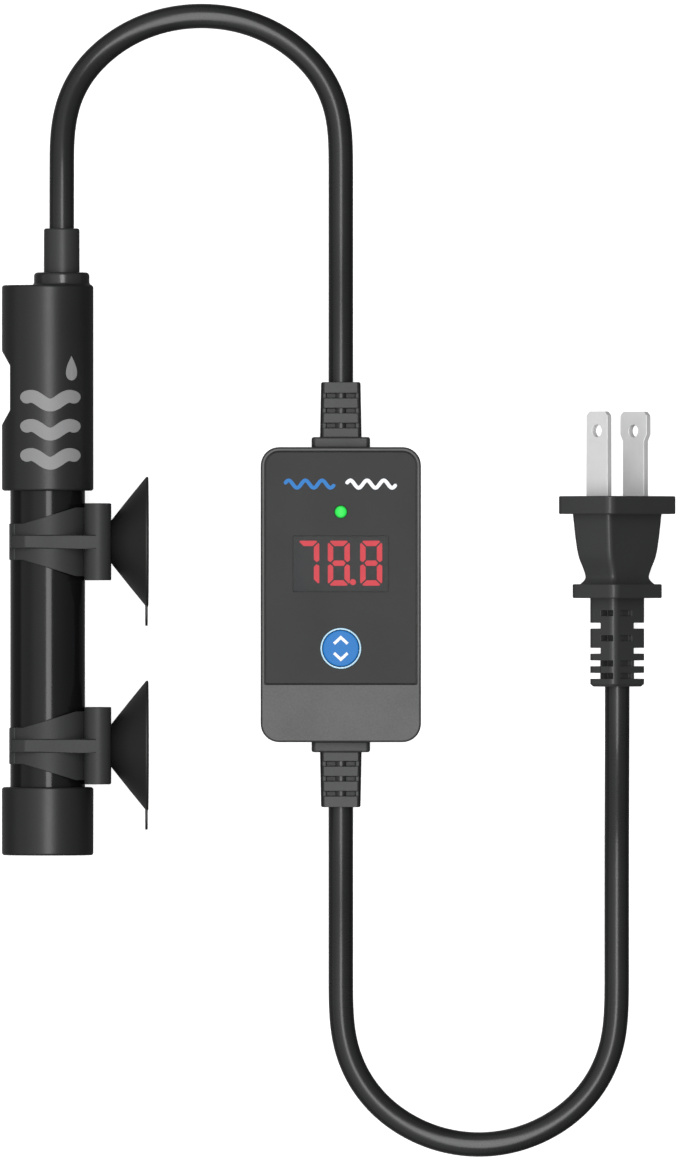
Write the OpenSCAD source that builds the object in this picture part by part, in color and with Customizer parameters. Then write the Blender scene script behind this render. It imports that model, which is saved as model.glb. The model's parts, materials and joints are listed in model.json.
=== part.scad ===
// Small submersible aquarium heater with an inline temperature controller and a two-blade mains plug.
// The heater, the controller and the plug lie flat on a table, joined by their two cords.
// Origin: on the table, under the middle of the box round the heater and the controller.
// +Y runs from the heater's bottom cap to its cord, +X from the heater to the controller, +Z is up.

/* [Heater] */
// Outside diameter of the heater tube
tube_d = 17; // [14:0.5:22]
// Wall of the heater tube
tube_wall = 1.2; // [0.8:0.1:2]
// Length of bare tube between the two caps
tube_visible = 67.3; // [60:0.1:120]
// Wall of both caps over the tube
cap_wall = 1.9; // [1.2:0.1:4]
// Length of the cap over the cord end
top_cap_len = 46.7; // [38:0.1:60]
// Length of the cap over the closed end
bottom_cap_len = 15.5; // [11:0.1:25]
// Depth of the flat that is cut into the top cap beside the temperature probe
notch_depth = 1.9; // [0.8:0.1:2.4]
// Length of that flat
notch_len = 10.2; // [6:0.1:14]
// Sideways offset of the cord gland from the heater's axis
gland_offset = 3.2; // [1:0.1:3.4]
// Diameter of the gland's rubber collar
collar_d = 12.6; // [11.6:0.1:13.4]
// Height of that collar
collar_h = 2.9; // [1.5:0.1:5]
// Length of the boot that stands out of the collar
boot_len = 10; // [6:0.5:16]

/* [Clips and suction cups] */
// Height of each clip's foot along the tube
clip_h = 17.5; // [14:0.5:20]
// Thickness of the foot that holds the suction cup
foot_t = 6; // [5:0.1:8]
// Thickness of the clip's spring arms
arm_t = 1.3; // [1:0.1:1.6]
// Thickness of the rib round the middle of the arms
rib_t = 2.9; // [2:0.1:4]
// Distance from the top cap's edge to the upper clip's middle
upper_setback = 11.6; // [10.5:0.1:20]
// Distance from the bottom cap's edge to the lower clip's middle
lower_setback = 9.4; // [9:0.1:15]
// Diameter of each suction cup
cup_d = 29.6; // [24:0.1:36]
// Depth of each suction cup, from the clip's foot to its rim
cup_depth = 8.5; // [7:0.1:11]
// Length of the pull tab on each rim
tab_len = 4.3; // [3:0.1:6]

/* [Controller] */
// Width of the controller box
box_w = 36.4; // [34:0.1:48]
// Length of the controller box
box_h = 67; // [64:0.5:90]
// Thickness of the controller box
box_t = 19; // [18.5:0.1:26]
// Radius of the box's corners
box_r = 4.2; // [3:0.1:6]
// Wall of both shells
box_wall = 1.8; // [1.4:0.1:2.2]
// Width of the rim round the face panel
rim_w = 0.8; // [0.8:0.1:2]
// Length of the plain band below the face panel
band_h = 13; // [9:0.5:16]
// Diameter of the button
button_d = 8.2; // [6:0.1:10]
// How far the button travels
button_travel = 0.8; // [0.3:0.1:1.2]
// Gap between the heater's caps and the controller
box_gap = 38; // [30:0.5:60]
// How far the controller's middle lies below the heater's middle
box_drop = 12; // [0:0.5:30]

/* [Plug] */
// Width of the plug's front flange, across the blade faces
plug_w = 22.9; // [19:0.1:27]
// Thickness of the plug's front flange, along the blades' width
plug_t = 15.8; // [13:0.1:18]
// Length of the blades outside the plug
blade_len = 19.2; // [15:0.1:23]
// Roll of the plug about its cord, as it lies on one edge of its flange
plug_roll = 41.4; // [0:0.1:90]

/* [Cord] */
// Diameter of both cords
cord_d = 5.6; // [4.6:0.1:5.6]

/* [Hidden] */

$fn = 64;
over = 1;             // how far a cutting tool runs past the face that it cuts
fit = 0.05;           // radial clearance between pieces that fit in each other

// Heater, measured along its axis from the bottom cap's outer face
tube_r = tube_d / 2;
cap_r = tube_r + cap_wall;
cap_edge = 0.6;       // rounding of the caps' outer edges
cap_floor = 2.5;
cushion_t = 1.5;
tube_start = cap_floor + cushion_t;
top_cap_start = bottom_cap_len + tube_visible;
top_cap_end = top_cap_start + top_cap_len;
tube_grip = 12;       // length of tube inside the top cap
tube_end = top_cap_start + tube_grip;
tube_bore_r = tube_r - tube_wall;
tube_bottom = 2;      // thickness of the tube's closed end
stopper_flange = 3;
stopper_top = tube_end + stopper_flange;
cavity_wall = 3.6;    // wall of the top cap round its inner space
cavity_r = cap_r - cavity_wall;
boot_r = cord_d / 2 + 1.25;
cord_bore_r = cord_d / 2 + fit;
spigot_wall = 1.35;
spigot_r = boot_r + spigot_wall;
spigot_h = 3;
boot_flange_h = 1.5;
boot_start = top_cap_end - spigot_h - boot_flange_h;
gland_depth = 10;     // depth of the gland's hole in the top cap
heater_len = top_cap_end + collar_h + boot_len;
notch_ramp = 3.3;

// Heating core inside the tube
core_space = 3.7;     // space between the core and the tube, for the coil, the cutoff and the leads
core_r = tube_bore_r - core_space;
core_bore_r = 0.9;
core_start = tube_start + tube_bottom + 3;
core_end = top_cap_start - 4;
spacer_t = 2;
wire_r = 0.35;
coil_r = core_r + wire_r + fit;
coil_turns = 14;
coil_start = core_start + 3 + spacer_t + 2;
coil_end = core_end - 1 - spacer_t - 2;
lead_r = 0.5;
lead_x = core_r + lead_r + fit;
cutoff_r = 1.9;
cutoff_len = 8;
cutoff_start = core_end + 1.5;
stopper_start = cutoff_start + cutoff_len + 1;
crimp_r = 1;
crimp_len = 7;
crimp_end = top_cap_end - gland_depth + 1.5;
crimp_start = crimp_end - crimp_len;
core_gap = 1.3;       // sideways distance of the cord's cores from its middle
core_thick = 0.7;     // radius of each core
probe_r = 1.5;
probe_len = 7;
probe_x = -(cavity_r - probe_r - 0.1);
probe_start = top_cap_start + top_cap_len / 2 - probe_len / 2;

// Clips and suction cups, measured from the heater's axis towards the cups
clip_bore_r = tube_r + fit;
arm_r = clip_bore_r + arm_t;
foot_x = tube_r - 0.1;
foot_end = foot_x + foot_t;
foot_half = arm_r + 0.2;
mouth_angle = 35;     // half the angle of the clip's mouth
arm_h = clip_h - 1.9;
arm_tip_h = 8.3;
cup_r = cup_d / 2;
cup_head_r = 4.1;
cup_head_t = 2.8;
cup_neck_r = 2.7;
foot_lip = 2.1;       // material of the foot that the cup's head catches behind
head_end = foot_end - foot_lip;
cup_base_r = 4.8;
rim_x = foot_end + cup_depth;
rim_t = 0.6;
tab_w = 6;
tab_t = 0.6;
upper_clip_y = top_cap_start - upper_setback;
lower_clip_y = bottom_cap_len + lower_setback;

// Places on the table
layout_w = 2 * cap_r + box_gap + box_w;
heater_x = cap_r - layout_w / 2;
heater_z = cup_r;
box_x = layout_w / 2 - box_w / 2;
box_y = -box_drop;

// Controller, measured from its middle and from the table
split_z = box_t / 2;
plate_t = 1;
panel_t = 1;
panel_drop = 0.2;     // how far the face panel lies below the rim
panel_top = box_t - panel_drop;
panel_z = panel_top - panel_t;
plate_z = panel_z - plate_t;
panel_w = box_w - 2 * rim_w;
panel_h = box_h - rim_w - band_h;
panel_y = box_h / 2 - rim_w - panel_h / 2;
panel_r = box_r - rim_w;
window_w = 21.8;
window_h = 12.8;
window_y = box_h / 2 - 26.5;
light_y = box_h / 2 - 14.7;
light_r = 1.4;
button_y = box_h / 2 - 45.7;
button_r = button_d / 2;
button_proud = 0.6;
ring_t = 0.5;
ring_r = button_r + fit + ring_t;
button_flange_r = button_r + 0.9;
button_flange_t = 1;
lens_t = 0.7;
segment_t = 0.2;
digit_w = 5.1;
digit_h = 10.2;
digit_pitch = 7.27;
segment_w = 1.3;
segment_gap = 0.25;
digits = [[0, "ABC"], [1, "ABCDEFG"], [2, "ABCDEFG"]];
board_z = 5;
board_t = 1.6;
board_top = board_z + board_t;
board_w = box_w - 2 * box_wall - 1.8;
board_h = box_h - 2 * box_wall - 3.4;
module_w = 22.6;
module_h = 14.1;
module_t = 8;
module_top = panel_z;
post_r = 3.2;
post_x = box_w / 2 - box_wall - post_r;
post_y = box_h / 2 - box_wall - post_r - 0.4;
screw_r = 1;
screw_head_r = 2;
screw_head_t = 1.5;
screw_sink = 0.4;
seal_w = 0.8;
seal_h = 0.6;
plunger_r = 1.7;
plunger_top = plate_z - button_flange_t - 1.6;
switch_w = 6;
switch_t = plunger_top - board_top - 2.6;

// Strain reliefs of the controller, measured from the box's end face
relief_r = 4.2;
relief_flange_t = 1.4;
relief_collar_w = 13.3;
relief_collar_t = 2.3;
relief_collar_h = 10.6;
relief_w = 9.3;
relief_tip_w = 8.8;
relief_t = 8.6;
relief_len = 12.5;
relief_slots = 3;
relief_slot_w = 1.1;
relief_slot_pitch = 3.4;
relief_slot_first = relief_collar_t + 2.65;
relief_slot_span = 8;

// Plug, measured from its front face back along the cord; blades are 12.7 mm apart
blade_pitch = 12.7;
blade_w = 6.35;
blade_tip_w = 7.9;
blade_t = 1.5;
blade_hole_r = 1.5;
blade_hole_end = 4.2;
flange_t = 4.1;
flange_r = 0.5;
neck_len = 15.9;
neck_sizes = [
  [0, 11.5, 19], [5.4, 10.9, 17.9], [9.5, 10.2, 16.6], [12.2, 9.4, 14.1], [13.6, 9.1, 13.3],
  [neck_len, 10.7, 14.7]
];
rear_flange = [12.8, 16.9, 3.2];
tail = [7.7, 11.2, 20.1];
edge_r = 1.1;         // rounding of the long edges behind the front flange
tail_slot_w = 1.3;
tail_slot_pitch = 2.85;
tail_slot_first = 3.4;
tail_core_r = cord_bore_r + 0.65;
carrier = [8.6, 15.6, 6];
carrier_start = 3;
cord_depth = 18.4;    // how far behind the front face the cord ends
plug_len = flange_t + neck_len + rear_flange[2] + tail[2];
plug_x = 92.2;
plug_y = 10.4;
plug_z = (plug_t / 2 - flange_r) * sin(plug_roll) + (plug_w / 2 - flange_r) * cos(plug_roll) + flange_r;

// Routes of the two cords
heater_route = [
  [-34, 50, 14.8], [-34, 58, 14.8], [-34, 66, 14.8], [-34, 74, 14.8], [-34, 80, 14.3], [-34, 86, 12.9],
  [-34, 92.5, 10.6], [-32.9, 99.6, 7.7], [-29.8, 106.3, 5], [-24.7, 111.9, 3.3], [-18.2, 116.3, 2.8],
  [-10.5, 119.1, 2.8], [-2.3, 120, 2.8], [5.9, 119.1, 2.8], [13.6, 116.3, 2.8], [20.1, 111.9, 2.8],
  [25.2, 106.3, 2.8], [28.3, 99.6, 2.8], [29.4, 92.5, 2.8], [29.4, 84, 2.8], [29.4, 75, 2.8],
  [29.4, 69, 3.3], [29.4, 63, 4.5], [29.4, 57, 6.2], [29.4, 51, 7.8], [29.4, 45, 9.1], [29.4, 39, 9.5],
  [29.4, 31, 9.5], [29.4, 23, 9.5], [29.4, 16, 9.5]
];
mains_route = [
  [29.4, -40, 9.5], [29.4, -47, 9.5], [29.4, -55, 9.5], [29.4, -63, 9.5], [29.4, -69, 9.1],
  [29.4, -75, 7.8], [29.4, -81, 6.2], [29.4, -87, 4.5], [29.4, -93, 3.3], [29.4, -99, 2.8],
  [29.4, -108, 2.8], [30.5, -115.6, 2.8], [33.6, -122.8, 2.8], [38.6, -128.9, 2.8], [45.1, -133.5, 2.8],
  [52.7, -136.5, 2.8], [60.8, -137.5, 2.8], [68.9, -136.5, 2.8], [76.5, -133.5, 2.8], [83, -128.9, 2.8],
  [88, -122.8, 2.8], [91.1, -115.6, 2.8], [92.2, -108, 2.8], [92.2, -98, 2.8], [92.2, -88, 2.8],
  [92.2, -78, 2.8], [92.2, -71, 3.5], [92.2, -64, 5.5], [92.2, -57, 8.1], [92.2, -50, 10.7],
  [92.2, -43, 12.9], [92.2, -36, 13.6], [92.2, -28, 13.6], [92.2, -18, 13.6], [92.2, -8, 13.6]
];

// ---- Shared shapes ----

// Moves a piece drawn round +Z, from the bottom cap's face up, onto the heater's axis along +Y.
module on_heater() {
  translate([heater_x, -heater_len / 2, heater_z]) rotate([-90, 0, 0]) children();
}

// Moves a piece drawn round the controller's middle into its place.
module on_box() {
  translate([box_x, box_y, 0]) children();
}

// Moves a piece drawn with its front face at y = 0 and its blades along +Y into the plug's place.
module on_plug() {
  translate([plug_x, plug_y, plug_z]) rotate([0, -plug_roll, 0]) children();
}

// Half section of a rod of radius r and height h, with its two outer edges rounded.
module rod_section(r, h, low, high) {
  translate([0, low]) square([r, h - low - high]);
  square([r - low, h]);
  square([r - max(low, high), h]);
  if (low > 0) translate([r - low, low]) circle(low);
  if (high > 0) translate([r - high, h - high]) circle(high);
}

// Rectangle with rounded corners, centred.
module round_rect(w, h, r) {
  square([w - 2 * r, h], center = true);
  square([w, h - 2 * r], center = true);
  for (x = [-1, 1], y = [-1, 1]) translate([x * (w / 2 - r), y * (h / 2 - r)]) circle(r);
}

// Slab of a rounded rectangle between two heights.
module slab(w, h, r, low, high) {
  translate([0, 0, low]) linear_extrude(high - low) round_rect(w, h, r);
}

// Box between two heights, centred on x and y.
module block(w, h, low, high) {
  translate([-w / 2, -h / 2, low]) cube([w, h, high - low]);
}

// Straight rod between two points.
module rod(a, b, r) {
  d = b - a;
  long = norm(d);
  translate(a) rotate([0, acos(d[2] / long), atan2(d[1], d[0])]) cylinder(r = r, h = long, $fn = 24);
}

// Bent wire through a list of points, with a slightly swollen bend at each.
module wire(points, r) {
  for (i = [0 : len(points) - 2]) rod(points[i], points[i + 1], r);
  for (i = [1 : len(points) - 2]) translate(points[i]) sphere(1.04 * r, $fn = 24);
}

// Direction of a route at one of its points.
function heading(route, i) =
  let (a = route[max(i - 1, 0)], b = route[min(i + 1, len(route) - 1)]) (b - a) / norm(b - a);

// One ring of a tube round a route's point, with its first corner on the given side.
function ring(centre, along, up, r, sides) =
  let (side = cross(along, up), u = side / norm(side), v = cross(u, along))
  [for (k = [0 : sides - 1]) centre + r * (cos(360 * k / sides) * u + sin(360 * k / sides) * v)];

// Closed tube swept along a route's own points.
module tube(route, r, sides, up) {
  n = len(route);
  points = [for (i = [0 : n - 1]) each ring(route[i], heading(route, i), up, r, sides)];
  start_cap = [[for (k = [0 : sides - 1]) k]];
  end_cap = [[for (k = [sides - 1 : -1 : 0]) (n - 1) * sides + k]];
  walls = [
    for (i = [0 : n - 2], k = [0 : sides - 1])
      let (a = i * sides + k, b = i * sides + (k + 1) % sides)
        each [[a, a + sides, b + sides], [a, b + sides, b]]
  ];
  polyhedron(points, concat(start_cap, walls, end_cap));
}

// ---- Heater ----

module heater_tube() {
  color([0.04, 0.04, 0.045]) on_heater() difference() {
    translate([0, 0, tube_start]) rotate_extrude() rod_section(tube_r, tube_end - tube_start, 3, 0);
    translate([0, 0, tube_start + tube_bottom]) cylinder(r = tube_bore_r, h = tube_end - tube_start);
  }
}

module top_cap() {
  color([0.1, 0.1, 0.1]) on_heater() difference() {
    translate([0, 0, top_cap_start]) rotate_extrude() rod_section(cap_r, top_cap_len, cap_edge, cap_edge);
    translate([0, 0, top_cap_start - over])
      cylinder(r = tube_r + fit, h = stopper_top - top_cap_start + over);
    translate([0, 0, stopper_top - over])
      cylinder(r = cavity_r, h = top_cap_end - gland_depth + 2 - stopper_top + over);
    translate([gland_offset, 0, top_cap_end - gland_depth])
      cylinder(r = spigot_r + fit, h = gland_depth + over);
    probe_notch();
  }
}

// Flat with a ramp at each end, on the side away from the gland.
module probe_notch() {
  middle = top_cap_start + top_cap_len / 2;
  flat = notch_len / 2;
  end = flat + notch_ramp;
  slope = (end - flat) / notch_depth;
  translate([-cap_r, cap_r + over, middle]) rotate([90, 0, 0]) linear_extrude(2 * (cap_r + over)) polygon([
    [-over, -end - slope * over], [notch_depth, -flat], [notch_depth, flat], [-over, end + slope * over]
  ]);
}

module bottom_cap() {
  color([0.1, 0.1, 0.1]) on_heater() difference() {
    rotate_extrude() rod_section(cap_r, bottom_cap_len, cap_edge, cap_edge);
    translate([0, 0, cap_floor]) cylinder(r = tube_r + fit, h = bottom_cap_len);
  }
}

module tube_cushion() {
  color([0.75, 0.75, 0.72]) on_heater() translate([0, 0, cap_floor]) cylinder(r = tube_r - 3, h = cushion_t);
}

module ceramic_core() {
  color([0.92, 0.9, 0.85]) on_heater() difference() {
    translate([0, 0, core_start]) cylinder(r = core_r, h = core_end - core_start);
    translate([0, 0, core_start - over]) cylinder(r = core_bore_r, h = core_end - core_start + 2 * over);
  }
}

module heating_coil() {
  steps = 14;
  n = coil_turns * steps;
  rise = (coil_end - coil_start) / n;
  helix = [
    for (i = [0 : n]) let (a = 360 * i / steps) [coil_r * cos(a), coil_r * sin(a), coil_start + rise * i]
  ];
  color([0.55, 0.52, 0.5]) on_heater() tube(helix, wire_r * 0.98, 5, [0, 0, 1]);
}

module core_spacers() {
  color([0.85, 0.82, 0.7]) on_heater() for (z = [core_start + 3, core_end - 1 - spacer_t]) difference() {
    translate([0, 0, z]) cylinder(r = tube_bore_r - fit, h = spacer_t);
    translate([0, 0, z - over]) cylinder(r = core_r + fit, h = spacer_t + 2 * over);
    translate([lead_x, 0, z - over]) cylinder(r = lead_r + 2 * fit, h = spacer_t + 2 * over, $fn = 24);
  }
}

// Returns from the coil's lower end, under the core and up through its bore.
module return_lead() {
  low = core_start - 1.2;
  color([0.7, 0.45, 0.3]) on_heater() wire([
    [lead_x, 0, coil_start - wire_r - 0.1], [lead_x, 0, low], [0, 0, low], [0, 0, stopper_top + 2],
    [gland_offset, -core_gap, crimp_start - lead_r / 2]
  ], lead_r);
}

// Runs from the coil's upper end to the thermal cutoff, and on from it through the stopper.
module supply_lead() {
  color([0.7, 0.45, 0.3]) on_heater() {
    rod([lead_x, 0, coil_end + wire_r + 0.1], [lead_x, 0, cutoff_start], lead_r);
    wire([
      [lead_x, 0, cutoff_start + cutoff_len], [lead_x, 0, stopper_top + 2],
      [gland_offset, core_gap, crimp_start - lead_r / 2]
    ], lead_r);
  }
}

module thermal_cutoff() {
  color([0.8, 0.8, 0.78]) on_heater() translate([lead_x, 0, cutoff_start])
    rotate_extrude() rod_section(cutoff_r, cutoff_len, 0.4, 0.4);
}

module tube_stopper() {
  color([0.6, 0.2, 0.12]) on_heater() difference() {
    union() {
      translate([0, 0, stopper_start]) cylinder(r = tube_bore_r, h = tube_end - stopper_start);
      translate([0, 0, tube_end]) cylinder(r = tube_r, h = stopper_flange);
    }
    for (x = [0, lead_x]) translate([x, 0, stopper_start - over])
      cylinder(r = lead_r + fit, h = stopper_top - stopper_start + 2 * over, $fn = 24);
  }
}

module crimp_sleeves() {
  color([0.75, 0.72, 0.65]) on_heater() for (y = [-1, 1])
    translate([gland_offset, y * core_gap, crimp_start]) cylinder(r = crimp_r, h = crimp_len, $fn = 24);
}

// Bead behind the flat of the top cap, with its two thin leads.
module temperature_probe() {
  top = probe_start + probe_len;
  color([0.12, 0.12, 0.12]) on_heater() {
    translate([probe_x, 0, probe_start]) rotate_extrude() rod_section(probe_r, probe_len, 0.7, 0.7);
    for (y = [-1, 1]) rod([probe_x, y * 0.6, top], [gland_offset - 2.2, y * 0.6, crimp_end], 0.3);
  }
}

module gland_grommet() {
  foot = 0.7;
  color([0.08, 0.08, 0.08]) on_heater() translate([gland_offset, 0, top_cap_end]) difference() {
    rotate_extrude() {
      translate([0, -spigot_h]) square([spigot_r, spigot_h + 0.2]);
      rod_section(collar_d / 2, collar_h, 0, 0.4);
      difference() {
        square([collar_d / 2 + foot, foot]);
        translate([collar_d / 2 + foot, foot]) circle(foot);
      }
    }
    translate([0, 0, -spigot_h - over]) cylinder(r = boot_r + fit, h = spigot_h + collar_h + 2 * over);
  }
}

module cord_boot() {
  color([0.1, 0.1, 0.1]) on_heater() translate([gland_offset, 0, boot_start]) difference() {
    rotate_extrude() {
      square([spigot_r - fit, boot_flange_h]);
      rod_section(boot_r, heater_len - boot_start, 0, 0.35);
    }
    translate([0, 0, -over]) cylinder(r = cord_bore_r, h = heater_len - boot_start + 2 * over);
  }
}

// ---- Clips and suction cups ----

// Wedge that opens the mouth of a clip.
module mouth_wedge() {
  x = -3 * arm_r * cos(mouth_angle);
  y = 3 * arm_r * sin(mouth_angle);
  polygon([[0, 0], [x, y], [x, -y]]);
}

// Section of the spring arms, from the foot round to a flared lip at each side of the mouth.
module arm_section() {
  lip = 1.7;
  for (side = [0, 1]) mirror([0, side]) {
    a = 180 - mouth_angle;
    polygon([
      clip_bore_r * [cos(a), sin(a)], clip_bore_r * [cos(a), sin(a)] + lip * [-1, 0.75],
      arm_r * [cos(a), sin(a)] + [-0.45, 1.35], arm_r * [cos(a - 6), sin(a - 6)]
    ]);
  }
  difference() {
    circle(arm_r);
    mouth_wedge();
  }
}

// Flat-topped rib round the arms.
module rib_section() {
  difference() {
    union() {
      intersection() {
        circle(arm_r + 1.3);
        translate([-tube_r + 0.3, -foot_half]) square(2 * [arm_r, foot_half]);
      }
      translate([0, -foot_half]) square([foot_x + foot_t / 2, 2 * foot_half]);
    }
    mouth_wedge();
  }
}

// Outline of the arms seen from the side: full height at the foot, narrow at the lips.
module arm_outline() {
  full = 0.76 * tube_r;
  narrow = -0.65 * tube_r;
  far = 2 * arm_r;
  polygon([
    [far, -arm_h / 2], [full, -arm_h / 2], [narrow, -arm_tip_h / 2], [-far, -arm_tip_h / 2],
    [-far, arm_tip_h / 2], [narrow, arm_tip_h / 2], [full, arm_h / 2], [far, arm_h / 2]
  ]);
}

module clip(height) {
  pocket_r = cup_head_r + 0.2;
  color([0.2, 0.2, 0.2]) on_heater() translate([0, 0, height]) difference() {
    union() {
      intersection() {
        translate([0, 0, -clip_h / 2]) linear_extrude(clip_h) arm_section();
        translate([0, 2 * arm_r, 0]) rotate([90, 0, 0]) linear_extrude(4 * arm_r) arm_outline();
      }
      translate([0, 0, -rib_t / 2]) linear_extrude(rib_t) rib_section();
      translate([foot_x + foot_t / 2, 0, -clip_h / 2]) linear_extrude(clip_h)
        round_rect(foot_t, 2 * foot_half, foot_t / 2 - 0.01);
    }
    cylinder(r = clip_bore_r, h = 2 * clip_h, center = true);
    rotate([0, 90, 0]) cylinder(r = pocket_r, h = head_end);
    rotate([0, 90, 0]) cylinder(r = cup_neck_r + fit, h = foot_end + over);
  }
}

module upper_clip() {
  clip(upper_clip_y);
}

module lower_clip() {
  clip(lower_clip_y);
}

// Soft cup turned round the foot's hole: head, neck, cone and a pull tab on its rim.
module suction_cup(height) {
  head_start = head_end - cup_head_t - fit;
  base = foot_end + 0.3;
  lip = rim_x - 0.35;
  floor_x = base + 2.4;
  color([0.12, 0.12, 0.12]) on_heater() translate([0, 0, height]) {
    rotate([0, 90, 0]) rotate_extrude() polygon([
      [0, head_start], [cup_head_r, head_start], [cup_head_r, head_end - fit], [cup_neck_r, head_end - fit],
      [cup_neck_r, base], [cup_base_r - 0.4, base], [cup_base_r, base + 0.5], [cup_r, lip], [cup_r, rim_x],
      [cup_r - rim_t, rim_x], [cup_r - rim_t - 0.5, lip - 0.1], [cup_base_r - 1, floor_x], [0, floor_x]
    ]);
    difference() {
      translate([lip - tab_t + 0.3, 0, 0]) rotate([0, 90, 0]) linear_extrude(tab_t) union() {
        translate([0, -tab_w / 2]) square([cup_r + tab_len - tab_w / 2, tab_w]);
        translate([cup_r + tab_len - tab_w / 2, 0]) circle(tab_w / 2);
      }
      rotate([0, 90, 0]) cylinder(r = cup_r - rim_t, h = 2 * rim_x);
    }
  }
}

module upper_suction_cup() {
  suction_cup(upper_clip_y);
}

module lower_suction_cup() {
  suction_cup(lower_clip_y);
}

// ---- Cords ----

module heater_cord() {
  color([0.05, 0.05, 0.05]) tube(heater_route, cord_d / 2, 10, [0, 0, 1]);
}

module mains_cord() {
  color([0.05, 0.05, 0.05]) tube(mains_route, cord_d / 2, 10, [0, 0, 1]);
}

// ---- Controller ----

// The four screw places.
module at_posts() {
  for (x = [-1, 1], y = [-1, 1]) translate([x * post_x, y * post_y, 0]) children();
}

// Holes through both end walls for the strain reliefs.
module relief_holes() {
  translate([0, 0, split_z]) rotate([90, 0, 0]) cylinder(r = relief_r + fit, h = 2 * box_h, center = true);
}

// Ring of rectangular section that lies between the shells.
module seal_ring() {
  inset = (box_wall - seal_w) / 2;
  difference() {
    slab(box_w - 2 * inset, box_h - 2 * inset, box_r - inset, split_z - seal_h, split_z);
    slab(box_w - 2 * inset - 2 * seal_w, box_h - 2 * inset - 2 * seal_w, box_r - inset - seal_w,
      split_z - seal_h - over, split_z + over);
    relief_holes();
  }
}

module back_shell() {
  inner_r = box_r - box_wall;
  color([0.16, 0.16, 0.16]) on_box() difference() {
    union() {
      difference() {
        slab(box_w, box_h, box_r, 0, split_z);
        slab(box_w - 2 * box_wall, box_h - 2 * box_wall, inner_r, box_wall, split_z + over);
      }
      at_posts() cylinder(r = post_r, h = board_z);
    }
    at_posts() translate([0, 0, -over]) {
      cylinder(r = screw_r + 0.2, h = board_z + 2 * over);
      cylinder(r = screw_head_r + 0.15, h = screw_sink + screw_head_t + over);
    }
    relief_holes();
    seal_ring();
  }
}

module panel_outline(inset) {
  difference() {
    round_rect(panel_w - 2 * inset, panel_h - 2 * inset, panel_r - inset);
    translate([-panel_w, -1.5 * panel_h]) square([2 * panel_w, panel_h + box_r]);
  }
  translate([-panel_w / 2 + inset, -panel_h / 2 + inset]) square([panel_w - 2 * inset, box_r + over]);
}

module front_shell() {
  inner_r = box_r - box_wall;
  boss_r = 2.3;
  color([0.3, 0.3, 0.3]) on_box() difference() {
    union() {
      difference() {
        slab(box_w, box_h, box_r, split_z, box_t);
        slab(box_w - 2 * box_wall, box_h - 2 * box_wall, inner_r, split_z - over, plate_z);
      }
      at_posts() translate([0, 0, board_top]) cylinder(r = boss_r, h = plate_z - board_top + 0.5);
    }
    translate([0, panel_y, panel_z]) linear_extrude(panel_t + over) panel_outline(0);
    at_posts() translate([0, 0, board_top - over]) cylinder(r = screw_r, h = 7 + over);
    relief_holes();
    translate([0, window_y, 0]) block(module_w + 0.2, module_h + 0.2, plate_z - over, panel_top);
    translate([0, light_y, 0]) cylinder(r = light_r + fit, h = box_t);
    translate([0, button_y, 0]) cylinder(r = button_r + fit, h = box_t);
  }
}

module shell_seal() {
  color([0.55, 0.1, 0.08]) on_box() seal_ring();
}

module shell_screws() {
  cross_w = 0.6;
  cross_l = 2.2;
  low = screw_sink;
  color([0.7, 0.7, 0.72]) on_box() at_posts() difference() {
    union() {
      translate([0, 0, low]) cylinder(r = screw_head_r, h = screw_head_t);
      translate([0, 0, low]) cylinder(r = screw_r, h = board_top + 6 - low);
    }
    for (a = [0, 90]) rotate(a) block(cross_l, cross_w, low - over, low + 0.8);
  }
}

module face_panel() {
  color([0.12, 0.12, 0.12]) on_box() difference() {
    translate([0, panel_y, panel_z]) linear_extrude(panel_t) panel_outline(fit);
    translate([0, window_y, 0]) block(window_w, window_h, panel_z - over, panel_top + over);
    translate([0, light_y, 0]) cylinder(r = light_r + fit, h = box_t + over);
    translate([0, button_y, 0]) cylinder(r = ring_r + fit, h = box_t + over);
  }
}

module display_lens() {
  color([0.25, 0.1, 0.1, 0.5]) on_box() translate([0, window_y, 0])
    block(window_w - 2 * fit, window_h - 2 * fit, panel_top - lens_t, panel_top);
}

// One lit bar of a digit: a flat hexagon along x, centred.
module bar(long) {
  half = segment_w / 2;
  polygon([
    [-long / 2, 0], [-long / 2 + half, half], [long / 2 - half, half], [long / 2, 0],
    [long / 2 - half, -half], [-long / 2 + half, -half]
  ]);
}

// A digit of seven bars, A at the top and then clockwise, G across the middle.
module digit(lit) {
  across = digit_w - segment_w - segment_gap;
  down = (digit_h - segment_w) / 2 - segment_gap;
  x = (digit_w - segment_w) / 2;
  y = (digit_h - segment_w) / 2;
  places = [
    ["A", 0, y, 0, across], ["B", x, y / 2, 90, down], ["C", x, -y / 2, 90, down], ["D", 0, -y, 0, across],
    ["E", -x, -y / 2, 90, down], ["F", -x, y / 2, 90, down], ["G", 0, 0, 0, across]
  ];
  for (p = places) if (len(search(p[0], lit)) > 0) translate([p[1], p[2]]) rotate(p[3]) bar(p[4]);
}

module display_segments() {
  color([0.95, 0.2, 0.2]) on_box() translate([0, window_y, module_top]) linear_extrude(segment_t) {
    for (d = digits) translate([(d[0] - 1) * digit_pitch, 0]) digit(d[1]);
    translate([digit_pitch / 2, -(digit_h - segment_w) / 2]) circle(0.6);
  }
}

module display_module() {
  pin = 0.5;
  color([0.15, 0.15, 0.15]) on_box() translate([0, window_y, 0]) {
    block(module_w, module_h, module_top - module_t, module_top);
    for (i = [-2 : 2], y = [-1, 1]) translate([i * 2.54, y * 5, 0])
      block(pin, pin, board_top, module_top - module_t + 0.1);
  }
}

// Light pipe that carries the indicator light from the board to the face.
module power_light() {
  color([0.3, 0.95, 0.4]) on_box() translate([0, light_y, board_top + 1.3])
    rotate_extrude() rod_section(light_r, panel_top + 0.15 - board_top - 1.3, 0, 0.3);
}

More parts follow.
